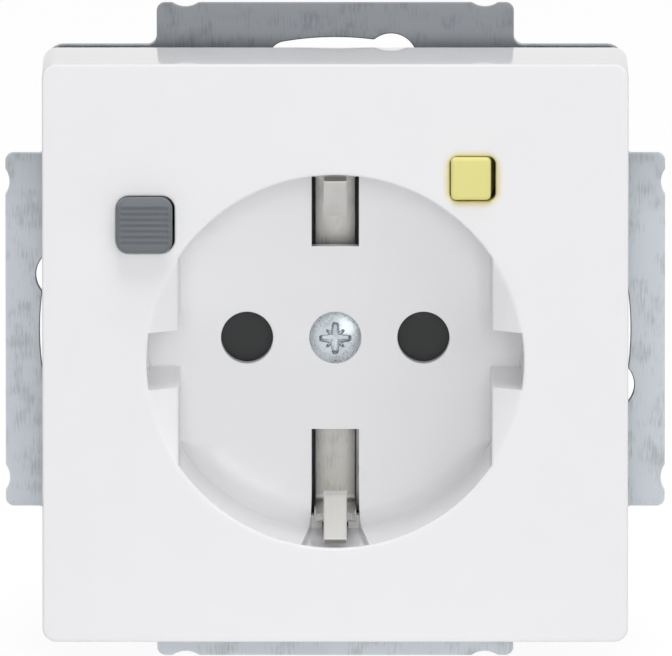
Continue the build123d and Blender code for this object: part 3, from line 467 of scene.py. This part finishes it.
soft_steel = rolled_metal("relay_steel", (0.34, 0.34, 0.35), (0.52, 0.52, 0.53), 0.35, 0.3 * mm, (1, 8, 1))
for node in ("relay_yoke", "relay_core", "relay_armature", "armature_pin"):
    dressed(nodes[node], soft_steel)
bobbin = moulded("bobbin_plastic", (0.74, 0.74, 0.70), 0.4)
dressed(nodes["relay_bobbin"], bobbin)
coil_x, coil_z, coil_front, coil_back = 8.0, 12.0, 22.11, 30.1
coil_turns, coil_radius, coil_inner, coil_ridge = 26, 3.5, 2.2, 0.14
along_coil = np.linspace(coil_front, coil_back, 8 * coil_turns + 1)
phase = np.pi * coil_turns * (along_coil - coil_front) / (coil_back - coil_front)
skin = coil_radius - coil_ridge * (1 - np.abs(np.sin(phase)) ** fullness)
inner = [(coil_inner, coil_front), (coil_inner, coil_back)]
profile = np.concatenate([inner[:1], np.stack([skin, along_coil], axis=-1), inner[::-1]])
coil = joined("bobbin_coil", "relay_coil", [sheet_of(lathed(profile, coil_x, coil_z), closed=True)])
dressed(coil, enamel)

# Contact rocker and latch
# An insulating rocker that the reset stem presses, and a lever of black plastic that holds it,
# each on its steel pin with its coil spring. The springs' end turns lie closed.
rocker_plastic = moulded("rocker_plastic", (0.62, 0.56, 0.44), 0.42, 0.04)
dressed(nodes["contact_rocker"], rocker_plastic)
black = moulded("black_plastic", (0.012, 0.013, 0.014), 0.35, 0.2, 0.2 * mm, 0.004 * mm)
dressed(nodes["latch_lever"], black)


def coil_spring(piece, node, start, end, radius, wire, turns):
    """A compression spring from start to end in millimetres: a helix that climbs by little more than
    a wire's width a turn near its ends and evenly between."""
    start, end = np.array(start, float), np.array(end, float)
    length = np.linalg.norm(end - start)
    axis = (end - start) / length
    across = np.array((0.0, 0.0, 1.0))
    over = np.cross(axis, across)
    end_turns, change, clear, steps = 0.8, 0.4, 1.04, 26
    turn = np.linspace(0, turns, int(steps * turns) + 1)
    free = np.clip((np.minimum(turn, turns - turn) - end_turns) / change, 0, 1)
    closed = wire * clear * (1 - free)
    pitch = (length - wire - np.trapz(closed, turn)) / np.trapz(free, turn)
    climb = closed + pitch * free
    height = wire / 2 + np.concatenate([[0], np.cumsum((climb[1:] + climb[:-1]) / 2 * np.diff(turn))])
    angle = 2 * np.pi * turn[:, None]
    path = start + height[:, None] * axis + radius * (np.cos(angle) * across + np.sin(angle) * over)
    spring = joined(piece, node, [round_wire(path, wire / 2, 8)], None)
    dressed(spring, spring_wire)
    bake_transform(spring)


spring_wire = rolled_metal("spring_wire", (0.36, 0.37, 0.38), (0.62, 0.63, 0.64), 0.25, 0.15 * mm)
coil_spring(
    "rocker_coil", "rocker_spring",
    (-3.0, 12.563, 14.2), (-3.0, 6.8, 14.2), radius=1.45, wire=0.5, turns=5,
)
coil_spring(
    "latch_coil", "latch_spring",
    (12.0, 12.063, 12.5), (14.7, 12.063, 12.5), radius=0.9, wire=0.35, turns=4.5,
)

# Test circuit
# A bent leaf of nickel-plated spring metal, whose free end lies under the test button's stem, and
# a small resistor standing on its two leads. The earth link beside them has the same plating.
nickel = rolled_metal("nickel_plate", (0.43, 0.42, 0.395), (0.58, 0.57, 0.54), 0.3, 0.25 * mm, (1, 6, 6))
dressed(nodes["earth_link"], nickel)
# the test button's axis, and the depths at which the leaf is held and is pressed
test_x, test_z = 14.460, 18.998
leaf_held, leaf_free, leaf_thick, leaf_half, leaf_edge, leaf_bend = 6.95, 9.95, 0.15, 1.2, 0.06, 0.7


def capped(rows):
    """The same rings with one more at each end, drawn together to that end's middle."""
    first, last = [np.full_like(rows[:1], rows[end].mean(axis=0)) for end in (0, -1)]
    return np.concatenate([first, rows, last])


leaf_route = [(7.46, leaf_held, 0), (10.11, leaf_held, 0), (10.11, leaf_free, 0), (16.46, leaf_free, 0)]
leaf_line = evenly(bent(leaf_route, leaf_bend), 0.25)
leaf_side = np.cross(directions(leaf_line), (0, 0, 1))
section = rounded_loop(leaf_thick, leaf_half, leaf_edge, steps=2)
leaf_rows = leaf_line[:, None] + section[:, :1] * leaf_side[:, None] + section[:, 1:] * (0, 0, 1.0)
leaf = joined("contact_leaf", "test_leaf", [sheet_of(capped(leaf_rows) + (0, 0, test_z), closed=True)], None)
dressed(leaf, nickel)
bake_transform(leaf)
ceramic = moulded("resistor_ceramic", (0.52, 0.43, 0.27), 0.5, 0.06)
dressed(nodes["test_resistor"], ceramic)

# Earth bracket
# A nickel-plated spring strip across the deck, bent up into two clips that meet the plug's earth
# contacts, and held by the cover screw in its threaded collar.
# the axis of recess, bracket and cover screw lies a little below the middle of the ring
axis_height, bore = -1.1, 1.55
clip_half, clip_nose_half, strip_half, strip_edge, strip_bend, end_ease = 2.25, 1.25, 0.4, 0.15, 1.1, 0.1
strap_start, strap_depth, clip_height, shoulder, taper = 3.2, 4.8, 18.75, -5.5, 0.6
knee, tip = (-10.8, 15.0), (-15.7, 19.6)


def spring_clip(up):
    """A strip with eased edges carried along its bent route, wide as far as the shoulders and narrow
    from there to its tip, closed by a smaller ring and a fan of faces at each end."""
    route = [(0, strap_depth, strap_start), (0, strap_depth, clip_height), (0, shoulder, clip_height)]
    path = evenly(bent(route + [(0, *knee), (0, *tip)], strip_bend), 0.12)
    way = directions(path)
    line = np.concatenate([path[:1] - end_ease * way[:1], path, path[-1:] + end_ease * way[-1:]])
    way = np.pad(way, ((1, 1), (0, 0)), "edge")
    less = np.pad(np.zeros(len(path)), 1, constant_values=end_ease)[:, None]
    loop = rounded_loop(clip_nose_half, strip_half, strip_edge, steps=3)
    wide = np.interp(line[:, 1], [shoulder - taper, shoulder], [0, clip_half - clip_nose_half])[:, None]
    across = loop[:, 0] + np.sign(loop[:, 0]) * (wide - less)
    over = loop[:, 1] - np.sign(loop[:, 1]) * less
    rows = line[:, None] + np.stack([across, over * way[:, None, 2], -over * way[:, None, 1]], axis=-1)
    return capped(rows) * (1, 1, up) + (0, 0, axis_height)


# the threaded collar's profile, as radius and depth
hub = [(bore, 4.36), (4.5, 4.36), (4.6, 4.46), (4.6, 5.17), (3.0, 5.17)]
hub += [(3.0, 7.65), (2.85, 7.8), (bore, 7.8), (bore, 4.36)]
bracket_rows = [spring_clip(1), spring_clip(-1), lathed(hub, 0, axis_height)]
bracket = joined("earth_clips", "earth_bracket", [sheet_of(rows, closed=True) for rows in bracket_rows])
# the attribute is 1 where the strip was cut off, past its tip along its last straight stretch
corners = corners_of(bracket)
past_tip = np.stack([corners[:, 1], np.abs(corners[:, 2] - axis_height)], axis=-1) - tip
past_tip = past_tip @ unit(np.subtract(tip, knee))
end_shade_attribute = bracket.data.attributes.new("cut", "FLOAT", "POINT")
end_shade_attribute.data.foreach_set("value", (past_tip > end_ease / 2).astype(float))
# a painted highlight lightens the noses, and painted shade darkens the strip's cut end faces
satin = rolled_metal("satin_nickel", (0.50, 0.49, 0.46), (0.66, 0.65, 0.62), 0.42, 0.2 * mm, (1, 10, 10))
# painted highlight: the noses are lightened toward the front
painted_nose_highlight = spread(satin, along_axis(satin, "Y"), 0.0, 0.75, -7 * mm, -11 * mm)
overlaid(satin, painted_nose_highlight, (0.90, 0.89, 0.86))
# painted shade on the strip's cut end faces, where the attribute is 1
painted_end_shade = new_node(satin, "Attribute")
painted_end_shade.attribute_name = "cut"
overlaid(satin, painted_end_shade.outputs["Fac"], (0.36, 0.36, 0.34))
dressed(bracket, satin)

# Shutter
# A rotor of black plastic behind the pin holes, on the boss of the cover screw. The plug's two pins
# turn it aside together, and a thin coil spring turns it back.
shutter = eased_copy("shutter", "pin_shutter", 0.15 * mm, "shutter_rotor")
dressed(shutter, black)
coil_spring(
    "shutter_coil", "shutter_spring",
    (0.85, 3.05, -7.3), (6.95, 3.05, -7.3), radius=0.45, wire=0.25, turns=10,
)

# Cover
# One glossy white moulding: front plate with its skirt, and the round recess for the plug with
# two flats, a guide groove through each, and slots for the earth clips. The mould leaves its edges
# softly rounded, most of all where the recess's wall runs into its floor.
cover_half, cover_tall, cover_middle, cover_corner, cover_edge = 31.4, 31.3, (0, -0.2), 1.5, 0.25
plate_front, plate_back, skirt_end, skirt_wall, inner_corner = -17.0, -15.0, -4.0, 1.5, 0.9
rim, flat, land_drop, recess_depth, floor_end, well_wall = 20.2, 16.8, 2.5, 17.5, 19.0, 1.2
groove_half, channel_back, mouth_half, lip = 3.1, 20.75, 3.65, 0.5
slot_half, nose_half, slot_inner, slot_step = 2.55, 1.4, 9.95, 19.35
rim_ease, flat_foot, round_foot, guard = 0.34, 0.4, 4.2, 0.3


def filled(loops):
    """Flat points, and the triangles between them that lie inside the first flat loop and outside the
    others: those where a ray from the middle crosses the loops an odd number of times."""
    points = np.concatenate(loops)
    starts = np.cumsum([0] + [len(loop) for loop in loops])
    ends = [np.roll(np.arange(low, high), -1) for low, high in zip(starts[:-1], starts[1:])]
    edges = np.stack([np.arange(len(points)), np.concatenate(ends)], axis=-1)
    made = delaunay_2d_cdt(points.tolist(), edges.tolist(), [], 1, 1e-5)
    flat_points, triangles = np.array(made[0]), np.array(made[2])
    middle = flat_points[triangles].mean(axis=1)
    a, b = points[edges[:, 0]], points[edges[:, 1]]
    spans = (a[:, 1] > middle[:, None, 1]) != (b[:, 1] > middle[:, None, 1])
    rise = np.where(a[:, 1] == b[:, 1], 1.0, b[:, 1] - a[:, 1])
    crossing = a[:, 0] + (middle[:, None, 1] - a[:, 1]) * (b[:, 0] - a[:, 0]) / rise
    inside = (spans & (crossing > middle[:, None, 0])).sum(axis=1) % 2 == 1
    return flat_points, triangles[inside]


def at_depth(flat, y):
    """Flat points set at one depth, or each at its own."""
    return np.stack([flat[:, 0], np.broadcast_to(y, len(flat)), flat[:, 1]], axis=-1)


def filled_at(loops, y):
    """What filled makes of these loops, set at one depth."""
    points, triangles = filled(loops)
    return at_depth(points, y), triangles


def stepped(half_width, half_height, corner, centre, outsets, depths):
    """A rounded rectangle at each of these depths, larger all round by that depth's outset."""
    return np.array([
        at_depth(rounded_loop(half_width + out, half_height + out, corner + out, centre), depth)
        for out, depth in zip(outsets, depths)
    ])


quarter = np.radians(np.linspace(0, 90, 7))
patches = []

# outside: skirt, rounded edge and the start of the front face
insets = np.concatenate([[0, 0], cover_edge * (1 - np.cos(quarter))[1:], [cover_edge + guard]])
depths = np.concatenate([[skirt_end], plate_front + cover_edge * (1 - np.sin(quarter)), [plate_front]])
outside = stepped(cover_half, cover_tall, cover_corner, cover_middle, -insets, depths)
inside_loop = rounded_loop(cover_half - skirt_wall, cover_tall - skirt_wall, inner_corner, cover_middle)
inside = [at_depth(inside_loop, plate_back), at_depth(inside_loop, skirt_end)]
patches.append(sheet_of(np.concatenate([inside, outside]), closed=True))

# button holes, with the rounded edge that shows in the front
reset_hole, test_hole = (-20.34, 13.79), (14.72, 18.71)
hole_rows = []
for centre, half_width, half_height, corner, ease in (
    (reset_hole, 3.14, 3.07, 1.4, 0.2),
    (test_hole, 2.45, 2.42, 0.85, 0.35),
):
    outsets = np.concatenate([[ease + guard], ease * (1 - np.sin(quarter))[:-1], [0, 0]])
    depths = np.concatenate([[plate_front], plate_front + ease * (1 - np.cos(quarter)), [plate_back]])
    hole_rows.append(stepped(half_width, half_height, corner, centre, outsets, depths))
    patches.append(sheet_of(hole_rows[-1], closed=True))

# the recess in one quarter: each column runs from the front over the rim, down the sloping land
# and the wall, and into the floor; every point is the mean of the sharp path over a window as wide
# as the rounding there


def channel_half(sunk):
    """Half the width of the earth clip's channel, which goes evenly with the depth from that of its
    mouth to that of the slot."""
    return np.interp(sunk, [lip, recess_depth], [mouth_half, slot_half])


slope = math.atan2(land_drop, rim - flat)
groove_angle = math.asin(groove_half / rim)
flat_angle = math.acos(flat / rim)
# the columns' angles at the rim: over the groove's end, along its side, along the flat, and then
# round the arc as far as the channel
side_x = np.linspace(math.sqrt(rim**2 - groove_half**2), flat, 7)[1:]
flat_z = np.linspace(groove_half, math.sqrt(rim**2 - flat**2), 16)[1:-1]
edge_angles = np.concatenate([
    np.linspace(0, groove_angle, 6),
    np.arctan2(groove_half, side_x),
    np.arctan2(flat_z, flat),
])
# how wide the sloping land is at each of these columns
lands = np.concatenate([np.zeros(6), rim - np.hypot(side_x, groove_half), rim - np.hypot(flat, flat_z)])
arc_shares = np.linspace(0, 1, 28)
angles = np.pad(edge_angles, (0, len(arc_shares)), constant_values=flat_angle)
lands = np.pad(lands, (0, len(arc_shares)))
shares = np.pad(arc_shares, (len(edge_angles), 0))
# how far along the sharp path the land and the wall end, and how far their foot is rounded
land_end = lands / math.cos(slope)
wall_end = land_end + recess_depth - lands * math.tan(slope)
foot = flat_foot + (round_foot - flat_foot) * np.clip(5 * shares, 0, 1)
# the rows, as distances along the sharp path, and the window of each
at_rim = rim_ease * np.linspace(-1, 1, 7)[:, None] + 0 * land_end
at_land = rim_ease * np.linspace(-5 / 6, 5 / 6, 6)[:, None] + land_end
upper = np.sort(np.concatenate([at_rim, at_land]), axis=0)
upper = np.concatenate([upper[:1] - guard, upper, land_end[None] + lip])
falls = np.array([0.3, 0.65])[:, None]
middle_rows = (land_end + lip) * (1 - falls) + (wall_end - foot) * falls
lower = wall_end + foot * np.linspace(-1, 1, 9)[:, None]
lower = np.concatenate([lower, lower[-1:] + guard])
along = np.concatenate([upper, middle_rows, lower])
ease = np.where(np.arange(len(along))[:, None] < len(upper) + len(falls), rim_ease, foot)
window = np.linspace(-1, 1, 41)[:, None, None] * ease + along
inward = np.minimum(window, 0) + np.clip(window, 0, land_end) * math.cos(slope)
inward = (inward + np.maximum(window - wall_end, 0)).mean(axis=0)
sunk = np.clip(window, 0, land_end) * math.sin(slope) + np.clip(window - land_end, 0, wall_end - land_end)
sunk = sunk.mean(axis=0)
radii = rim - inward
turned = angles + shares * (np.arccos(channel_half(sunk) / radii) - flat_angle)
quadrant = about_axis(radii, turned, plate_front + sunk)
lip_row = len(upper) - 1
# the arc above the channel, from its side to the middle
at_channel = np.s_[: len(upper), -1:]
cap_shares = np.linspace(0, 1, 9)
cap_angles = turned[at_channel] * (1 - cap_shares) + math.pi / 2 * cap_shares
cap = about_axis(radii[at_channel], cap_angles, plate_front + sunk[at_channel])


def placed(points, across=1, up=1):
    """Points given about the recess's axis, mirrored if asked, and set on that axis."""
    return points * (across, 1, up) + (0, 0, axis_height)


def round_the_recess(quarter_row, gap_up, gap_down):
    """A closed flat loop from one row of the quarter, with further points at the two channels."""
    row = quarter_row[:, [0, 2]]
    parts = [row[:-1], gap_up, (row * (-1, 1))[::-1][:-1], (row * (-1, -1))[:-1], gap_down]
    parts.append((row * (1, -1))[::-1][:-1])
    return np.concatenate(parts)


# the slot in the floor is full width for the strap, and narrow beyond it for the clip's nose
foot_start, foot_end = quadrant[-2, -1, 2], quadrant[-1, -1, 2]
step_path = [(slot_half, slot_inner), (slot_half, foot_end), (slot_half, foot_start), (slot_half, slot_step)]
step_path = np.array(step_path + [(nose_half, slot_step), (nose_half, channel_back)])


def upright(corners):
    """A quad between two floor depths, over the line between two points."""
    return np.array([[(x, plate_front + d, z) for x, z in corners] for d in (recess_depth, floor_end)])


# in each quarter the recess's wall, the arc above the channel, and the sides of channel and slot:
# the channel's is flat in height and depth, and each of its points then moves out by channel_half
edge = quadrant[lip_row:-1, -1]
side = np.concatenate([
    np.stack([edge[:, 2], edge[:, 1] - plate_front], axis=-1),
    [(slot_step, recess_depth), (channel_back, recess_depth), (channel_back, lip)],
])
side, side_triangles = filled([side])
side_points = np.stack([channel_half(side[:, 1]), plate_front + side[:, 1], side[:, 0]], axis=-1)
four_quarters = ((1, 1), (1, -1), (-1, 1), (-1, -1))
for across, up in four_quarters:
    patches.append(sheet_of(placed(quadrant, across, up)))
    patches.append(sheet_of(placed(cap, across, up)))
    patches.append((placed(side_points, across, up), side_triangles))
    patches.append(sheet_of(placed(upright(step_path), across, up)))

# the channel's rear wall, both ends of the slot, and the underside of the lip above the channel
channel_rear = np.array([
    [(x, plate_front + d, channel_back) for x in (-half, -nose_half, nose_half, half)]
    for half, d in ((mouth_half, lip), (slot_half, recess_depth))
])
slot_ends = [
    upright([(-half, z), (half, z)])
    for half, z in ((nose_half, channel_back), (slot_half, slot_inner))
]
arc = cap[-1][:, [0, 2]]
mouth = [(x, channel_back) for x in (-mouth_half, -nose_half, nose_half, mouth_half)]
under = np.concatenate([arc, (arc * (-1, 1))[::-1][1:], mouth])
under_points, under_triangles = filled_at([under], plate_front + lip)
for up in (1, -1):
    for rows in [channel_rear] + slot_ends:
        patches.append(sheet_of(placed(rows, up=up)))
    patches.append((placed(under_points, up=up), under_triangles))

# the front face between the cover's edge, the recess and the button holes
first = cap[0][:, [0, 2]]
over = np.concatenate([first[:-1], (first * (-1, 1))[::-1][:-1]])
rim_loop = round_the_recess(quadrant[0], over, over * (-1, -1)) + (0, axis_height)
front_loops = [outside[-1][:, [0, 2]], rim_loop] + [rows[0][:, [0, 2]] for rows in hole_rows]
patches.append(filled_at(front_loops, plate_front))

# the floor with its slots, and the pin holes and the countersunk screw hole in it, whose profiles
# are pairs of radius and depth
floor_front, floor_rear = plate_front + recess_depth, plate_front + floor_end
pin_x, pin_hole, pin_ease, pin_arc = 9.5, 2.8, 0.12, 0.035
pin_profile = [
    (pin_hole + pin_ease + guard, floor_front),
    (pin_hole + pin_ease, floor_front),
    (pin_hole + pin_arc, floor_front + pin_arc),
    (pin_hole, floor_front + pin_ease),
    (pin_hole, floor_rear),
]
boss = [(3.15, floor_front), (2.85, floor_front), (1.7, 1.517), (1.7, 4.4), (3.2, 4.4), (3.2, floor_rear)]
round_holes = [lathed(pin_profile, x, axis_height) for x in (-pin_x, pin_x)]
round_holes.append(lathed(boss, 0, axis_height))
patches += [sheet_of(rows, closed=True) for rows in round_holes]
shelf_half = [(slot_half, slot_step), (slot_half, channel_back)]
shelf_half = np.array(shelf_half + [(nose_half, channel_back), (nose_half, slot_step)])
gap = np.array([(slot_half, foot_end), (slot_half, slot_inner), (-slot_half, slot_inner)])
floor_loop = round_the_recess(quadrant[-1], gap, gap * (-1, -1)) + (0, axis_height)
front_holes = [rows[0][:, [0, 2]] for rows in round_holes]
patches.append(filled_at([floor_loop] + front_holes, floor_front))
for signs in four_quarters:
    shelf = shelf_half * signs + (0, axis_height)
    patches.append((at_depth(shelf, floor_front), np.array([(0, 1, 2, 3)])))

# the rear: the floor's underside, the outside of the recess, and the inside of the plate
slot = np.concatenate([step_path, (step_path * (-1, 1))[::-1]])
slots = [slot * (1, up) + (0, axis_height) for up in (1, -1)]
well_rows = lathed([(rim + well_wall, plate_back), (rim + well_wall, floor_rear)], 0, axis_height, 128)
well = well_rows[0][:, [0, 2]]
rear_holes = [rows[-1][:, [0, 2]] for rows in round_holes]
patches.append(filled_at([well] + slots + rear_holes, floor_rear))
patches.append(sheet_of(well_rows, closed=True))
rear_loops = [inside_loop, well] + [rows[-1][:, [0, 2]] for rows in hole_rows]
patches.append(filled_at(rear_loops, plate_back))

cover = joined("cover_moulding", "cover_plate", patches)
white = moulded("glossy_white", (0.915, 0.915, 0.93), 0.09, 0.006, 1.2 * mm, 0.0004 * mm)
# painted reflection: the button's yellow is painted on the white round the test button's hole, and it
# fades with the distance from a rectangle inside the hole
past = new_node(white, "CombineXYZ")
for axis, middle, half in (("X", test_hole[0], 1.25), ("Z", test_hole[1], 1.15)):
    beside = worked_out(white, "SUBTRACT", along_axis(white, axis), middle * mm)
    beside = worked_out(white, "SUBTRACT", worked_out(white, "ABSOLUTE", beside), half * mm)
    linked(white, worked_out(white, "MAXIMUM", beside), past.inputs[axis])
away = new_node(white, "VectorMath")
away.operation = "LENGTH"
linked(white, past.outputs["Vector"], away.inputs[0])
fade = spread(white, away.outputs["Value"], 0.85, 0.0, 1.2 * mm, 2.15 * mm, "SMOOTHSTEP")
# the painted yellow reflection is laid over the white
overlaid(white, fade, (0.80, 0.70, 0.30))
dressed(cover, white)

# Cover screw
# Zinc-plated steel, bluish from its passivation: a domed head with a cross recess and the small
# star cuts between its wings, a countersunk cone, and a rolled thread.
head_half, head_rise, head_rim = 2.8, 0.75, 0.5
wing_half, wing_taper, wing_side, wing_end, wing_run = 0.52, 0.12, 0.2, 1.75, 0.35
wing_depth, wing_slope = 1.25, 0.35
star_half, star_side, star_end, star_run, star_depth = 0.16, 0.12, 1.35, 0.3, 0.45
thread_half, thread_depth, thread_pitch = 1.5, 0.16, 0.7
screw_steps = 144
screw_turn = np.linspace(0, 2 * np.pi, screw_steps, endpoint=False)
head_rings = np.concatenate([[0.0], np.linspace(0.08, 2.1, 36), np.linspace(2.2, 2.62, 5)])[:, None]
dome_radius = (head_half**2 + head_rise**2) / (2 * head_rise)
dome = head_rim - head_rise + dome_radius - np.sqrt(dome_radius**2 - head_rings**2)
over_x = head_rings * np.cos(screw_turn)
over_z = head_rings * np.sin(screw_turn)
# four wings along x and z, with sloping sides and ends, and four small cuts between them
near = np.minimum(np.abs(over_x), np.abs(over_z))
far = np.maximum(np.abs(over_x), np.abs(over_z))
wing = np.clip((wing_half - wing_taper * far - near) / wing_side, 0, 1)
wing = wing * np.clip((wing_end - far) / wing_run, 0, 1) * (wing_depth - wing_slope * far)
slant = (far - near) / math.sqrt(2)
star = np.clip((star_half - slant) / star_side, 0, 1)
star = star * np.clip((star_end - head_rings) / star_run, 0, 1)
head = np.stack([over_x, dome + np.maximum(wing, star_depth * star), over_z], axis=-1)
collar = lathed([(2.72, 0.46), (2.79, 0.5), (2.8, 0.56), (2.68, 0.62), (1.5, 1.6)], 0, 0, screw_steps)
# the thread is a cosine of depth and turn together, and the shank ends in a small cone
shank = np.concatenate([np.linspace(1.7, 8.9, 90), [9.2, 9.5, 9.5]])[:, None]
wave = 0.5 - 0.5 * np.cos(2 * np.pi * shank / thread_pitch - screw_turn)
most = np.concatenate([np.full(len(shank) - 2, thread_half), [1.2, 0.0]])[:, None]
thread = np.minimum(thread_half - thread_depth * wave, most)
screw_rows = placed(np.concatenate([head, collar, about_axis(thread, screw_turn, shank)]))
raised_screw = joined("raised_screw", "cover_screw", [sheet_of(screw_rows, closed=True)], sharp=28)
screw_zinc = rolled_metal("blue_zinc", (0.40, 0.45, 0.47), (0.62, 0.67, 0.70), 0.27, 0.25 * mm)
dressed(raised_screw, screw_zinc)

# Reset button
# A cap of dark grey plastic with fine ridges for the finger, on a stem that presses the contact
# rocker. A coil spring round the stem pushes it out again.
grey = moulded("button_grey", (0.15, 0.165, 0.18), 0.32, 0.03)
reset_x, reset_z = -20.447, 13.811
cap_front, cap_back, cap_half, cap_corner, cap_ease = -18.7, -10.0, 3.0, 1.3, 0.5
ridge_pitch, ridge_depth, ridge_half, ridge_fade, lean_start, lean = 0.62, 0.16, 2.6, 0.15, 2.2, 0.5


def outline(half, corner):
    """A square with rounded corners, as 240 points at equal steps round it."""
    loop = rounded_loop(half, half, corner)
    loop = np.concatenate([loop, loop[:1]])
    run = run_along(loop)
    places = np.linspace(0, run[-1], 240, endpoint=False)
    return np.stack([np.interp(places, run, loop[:, axis]) for axis in (0, 1)], axis=-1)


def cap_row(flat, y):
    """A ring of the cap round the button's middle, at one depth or at a depth for each point."""
    return at_depth(flat + (reset_x, reset_z), y)


def ridged(flat):
    """The face's depth: a cosine of the height, faded out at the ridges' ends, and a lean back
    above the ridges."""
    fade = np.clip((ridge_half - np.abs(flat[:, 0])) / ridge_fade, 0, 1)
    fade = fade * (np.abs(flat[:, 1]) < 3.5 * ridge_pitch)
    groove = ridge_depth * (0.5 + 0.5 * np.cos(2 * np.pi * flat[:, 1] / ridge_pitch)) * fade
    return cap_front + groove + np.interp(flat[:, 1], [lean_start, cap_half], [0, lean])


face = outline(cap_half - cap_ease, cap_corner - cap_ease)
rows = [cap_row(face * share, ridged(face * share)) for share in np.linspace(0, 1, 61)]
for angle in np.radians([15, 30, 45, 60, 75, 90]):
    out = cap_ease * math.sin(angle)
    side = outline(cap_half - cap_ease + out, cap_corner - cap_ease + out)
    rows.append(cap_row(side, ridged(side) + cap_ease * (1 - math.cos(angle))))
round_way = unit(side)
rows.append(cap_row(side, cap_back))
# the stem's profile, as radius and depth, with the collar that the spring bears on behind the cap
stem = [(1.5, cap_back), (1.5, -0.7), (2.2, -0.7), (2.2, 0.3), (1.5, 0.3)]
stem += [(1.5, 12.11), (1.35, 12.26), (0, 12.26)]
rows += [cap_row(round_way * radius, y) for radius, y in stem]
reset_cap = joined("reset_cap", "reset_button", [sheet_of(np.array(rows), closed=True)], "reset_push")
dressed(reset_cap, grey)
coil_spring(
    "reset_coil", "reset_spring",
    (reset_x, cap_back, reset_z), (reset_x, -3.0, reset_z), radius=2.05, wire=0.5, turns=6,
)

# Test button
# A cap of glossy yellow plastic on a stem that presses the test leaf, with a coil spring round the
# stem that pushes it out again. The mould leaves its right side sloping.
yellow = moulded("button_yellow", (0.84, 0.785, 0.285), 0.12, 0.01)
test_cap = eased_copy("test_button", "test_cap", 0.05 * mm, "test_push")
corners = corners_of(test_cap)
stem_half, stem_start, side_from = 1.25, -9.9, 0.9
corner_middle, corner_shift, least = np.array((1.1, 1.2)), 0.35, 0.4
right_front, right_back, left_shift, lower_shift = 0.2, 0.62, 0.1, 0.42
out = corners[:, [0, 2]] - (test_x, test_z)
in_cap = (corners[:, 1] < stem_start) & (np.abs(out).max(axis=1) > stem_half)
# each corner's centre moves out, and the points round it come as much nearer to it
past = np.abs(out) - corner_middle
length = np.linalg.norm(past, axis=1)[:, None]
turned = in_cap & (past > -1e-4).all(axis=1) & (length[:, 0] > least)
moved = corner_middle + corner_shift + (length - corner_shift) * past / np.maximum(length, 1e-6)
out = np.where(turned[:, None], np.sign(out) * moved, out)
# then the right side slopes out toward the back, and the left and lower sides move out
right, left, lower = out[:, 0] > side_from, out[:, 0] < -side_from, out[:, 1] < -side_from
slope_out = np.interp(corners[:, 1], [plate_front, cap_back], [right_front, right_back])
out[:, 0] += in_cap * (right * slope_out - left * left_shift)
out[:, 1] -= in_cap * lower * lower_shift
corners[:, [0, 2]] = out + (test_x, test_z)
test_cap.data.vertices.foreach_set("co", (corners * mm).ravel())
dressed(test_cap, yellow)
coil_spring(
    "test_coil", "test_spring",
    (test_x, cap_back, test_z), (test_x, -3.0, test_z), radius=1.675, wire=0.35, turns=7,
)

# Studio
# A wide pale floor under the object and pale surroundings, both brightest where the camera sees
# them, directly or mirrored, lit by three soft square lamps: from the right, in front and above.
floor_reach, paper_glow, glow_share = 3.0, 1.08, 0.86
floor_corners = [
    (floor_reach * x, floor_reach * y, cad_low.z) for x, y in ((-1, -1), (1, -1), (1, 1), (-1, 1))
]
floor_mesh = bpy.data.meshes.new("floor")
floor_mesh.from_pydata(floor_corners, [], [(0, 1, 2, 3)])
floor = added("floor", floor_mesh)


def seen(material):
    """1 for rays from the camera, off a mirroring surface or through a clear one, and 0 for others."""
    rays = new_node(material, "LightPath").outputs
    either = worked_out(material, "MAXIMUM", rays["Is Camera Ray"], rays["Is Glossy Ray"])
    return worked_out(material, "MAXIMUM", either, rays["Is Transmission Ray"])


paper, paper_shader = blank("floor_paper", roughness=0.9)[:2]
paper_shader.inputs["Base Color"].default_value = (0.86, 0.86, 0.86, 1)
glow = new_node(paper, "Emission")
glow.inputs["Color"].default_value = (1, 1, 1, 1)
glow.inputs["Strength"].default_value = paper_glow
mix = new_node(paper, "MixShader")
linked(paper, worked_out(paper, "MULTIPLY", seen(paper), glow_share), mix.inputs["Fac"])
linked(paper, paper_shader.outputs[0], mix.inputs[1])
linked(paper, glow.outputs[0], mix.inputs[2])
linked(paper, mix.outputs[0], paper.node_tree.nodes["Material Output"].inputs["Surface"])
floor_mesh.materials.append(paper)

world = bpy.data.worlds.new("surround")
bpy.context.scene.world = world
world.use_nodes = True
sky = world.node_tree.nodes["Background"]
sky.inputs["Color"].default_value = (1, 1, 1, 1)
linked(world, spread(world, seen(world), 0.15, 1.0, 0.0, 1.0), sky.inputs["Strength"])


def lamp(name, place, size, watts, glossy):
    """A square soft lamp at a place, turned towards the middle of the cover, seen in gloss or not."""
    light = bpy.data.lights.new(name, "AREA")
    light.shape = "SQUARE"
    light.size = size
    light.energy = watts
    made = added(name, light)
    made.location = place
    aim = np.array((0.0, -0.01, 0.0)) - np.array(place)
    made.rotation_euler = Vector(aim).to_track_quat("-Z", "Y").to_euler()
    made.visible_glossy = glossy


lamp("key_lamp", (0.55, -1.00, 0.42), 0.7, 1.7, True)
lamp("front_lamp", (0.02, -1.40, 0.235), 0.35, 5.5, False)
lamp("top_lamp", (0.05, -0.28, 1.00), 0.6, 6.1, False)

# Camera
# A long lens a little above the object, which looks down on it by under nine degrees. The lens
# follows from how many pixels of the picture a millimetre takes at the cover's face.
view_down, distance, aim = math.radians(8.6), 3.2, np.array((0.08, -17.0, 2.594)) * mm
sensor_width, picture_width, pixels_per_mm = 36.0, 672, 9.335
camera_data = bpy.data.cameras.new("camera")
camera = added("camera", camera_data)
camera.location = aim + distance * np.array((0, -math.cos(view_down), math.sin(view_down)))
camera.rotation_euler = (math.pi / 2 - view_down, 0, 0)
camera_data.sensor_width = sensor_width
camera_data.lens = pixels_per_mm * sensor_width / picture_width * distance / mm
camera_data.clip_start = 0.1
camera_data.clip_end = 20.0
bpy.context.scene.camera = camera

bpy.context.scene.view_settings.view_transform = "Standard"
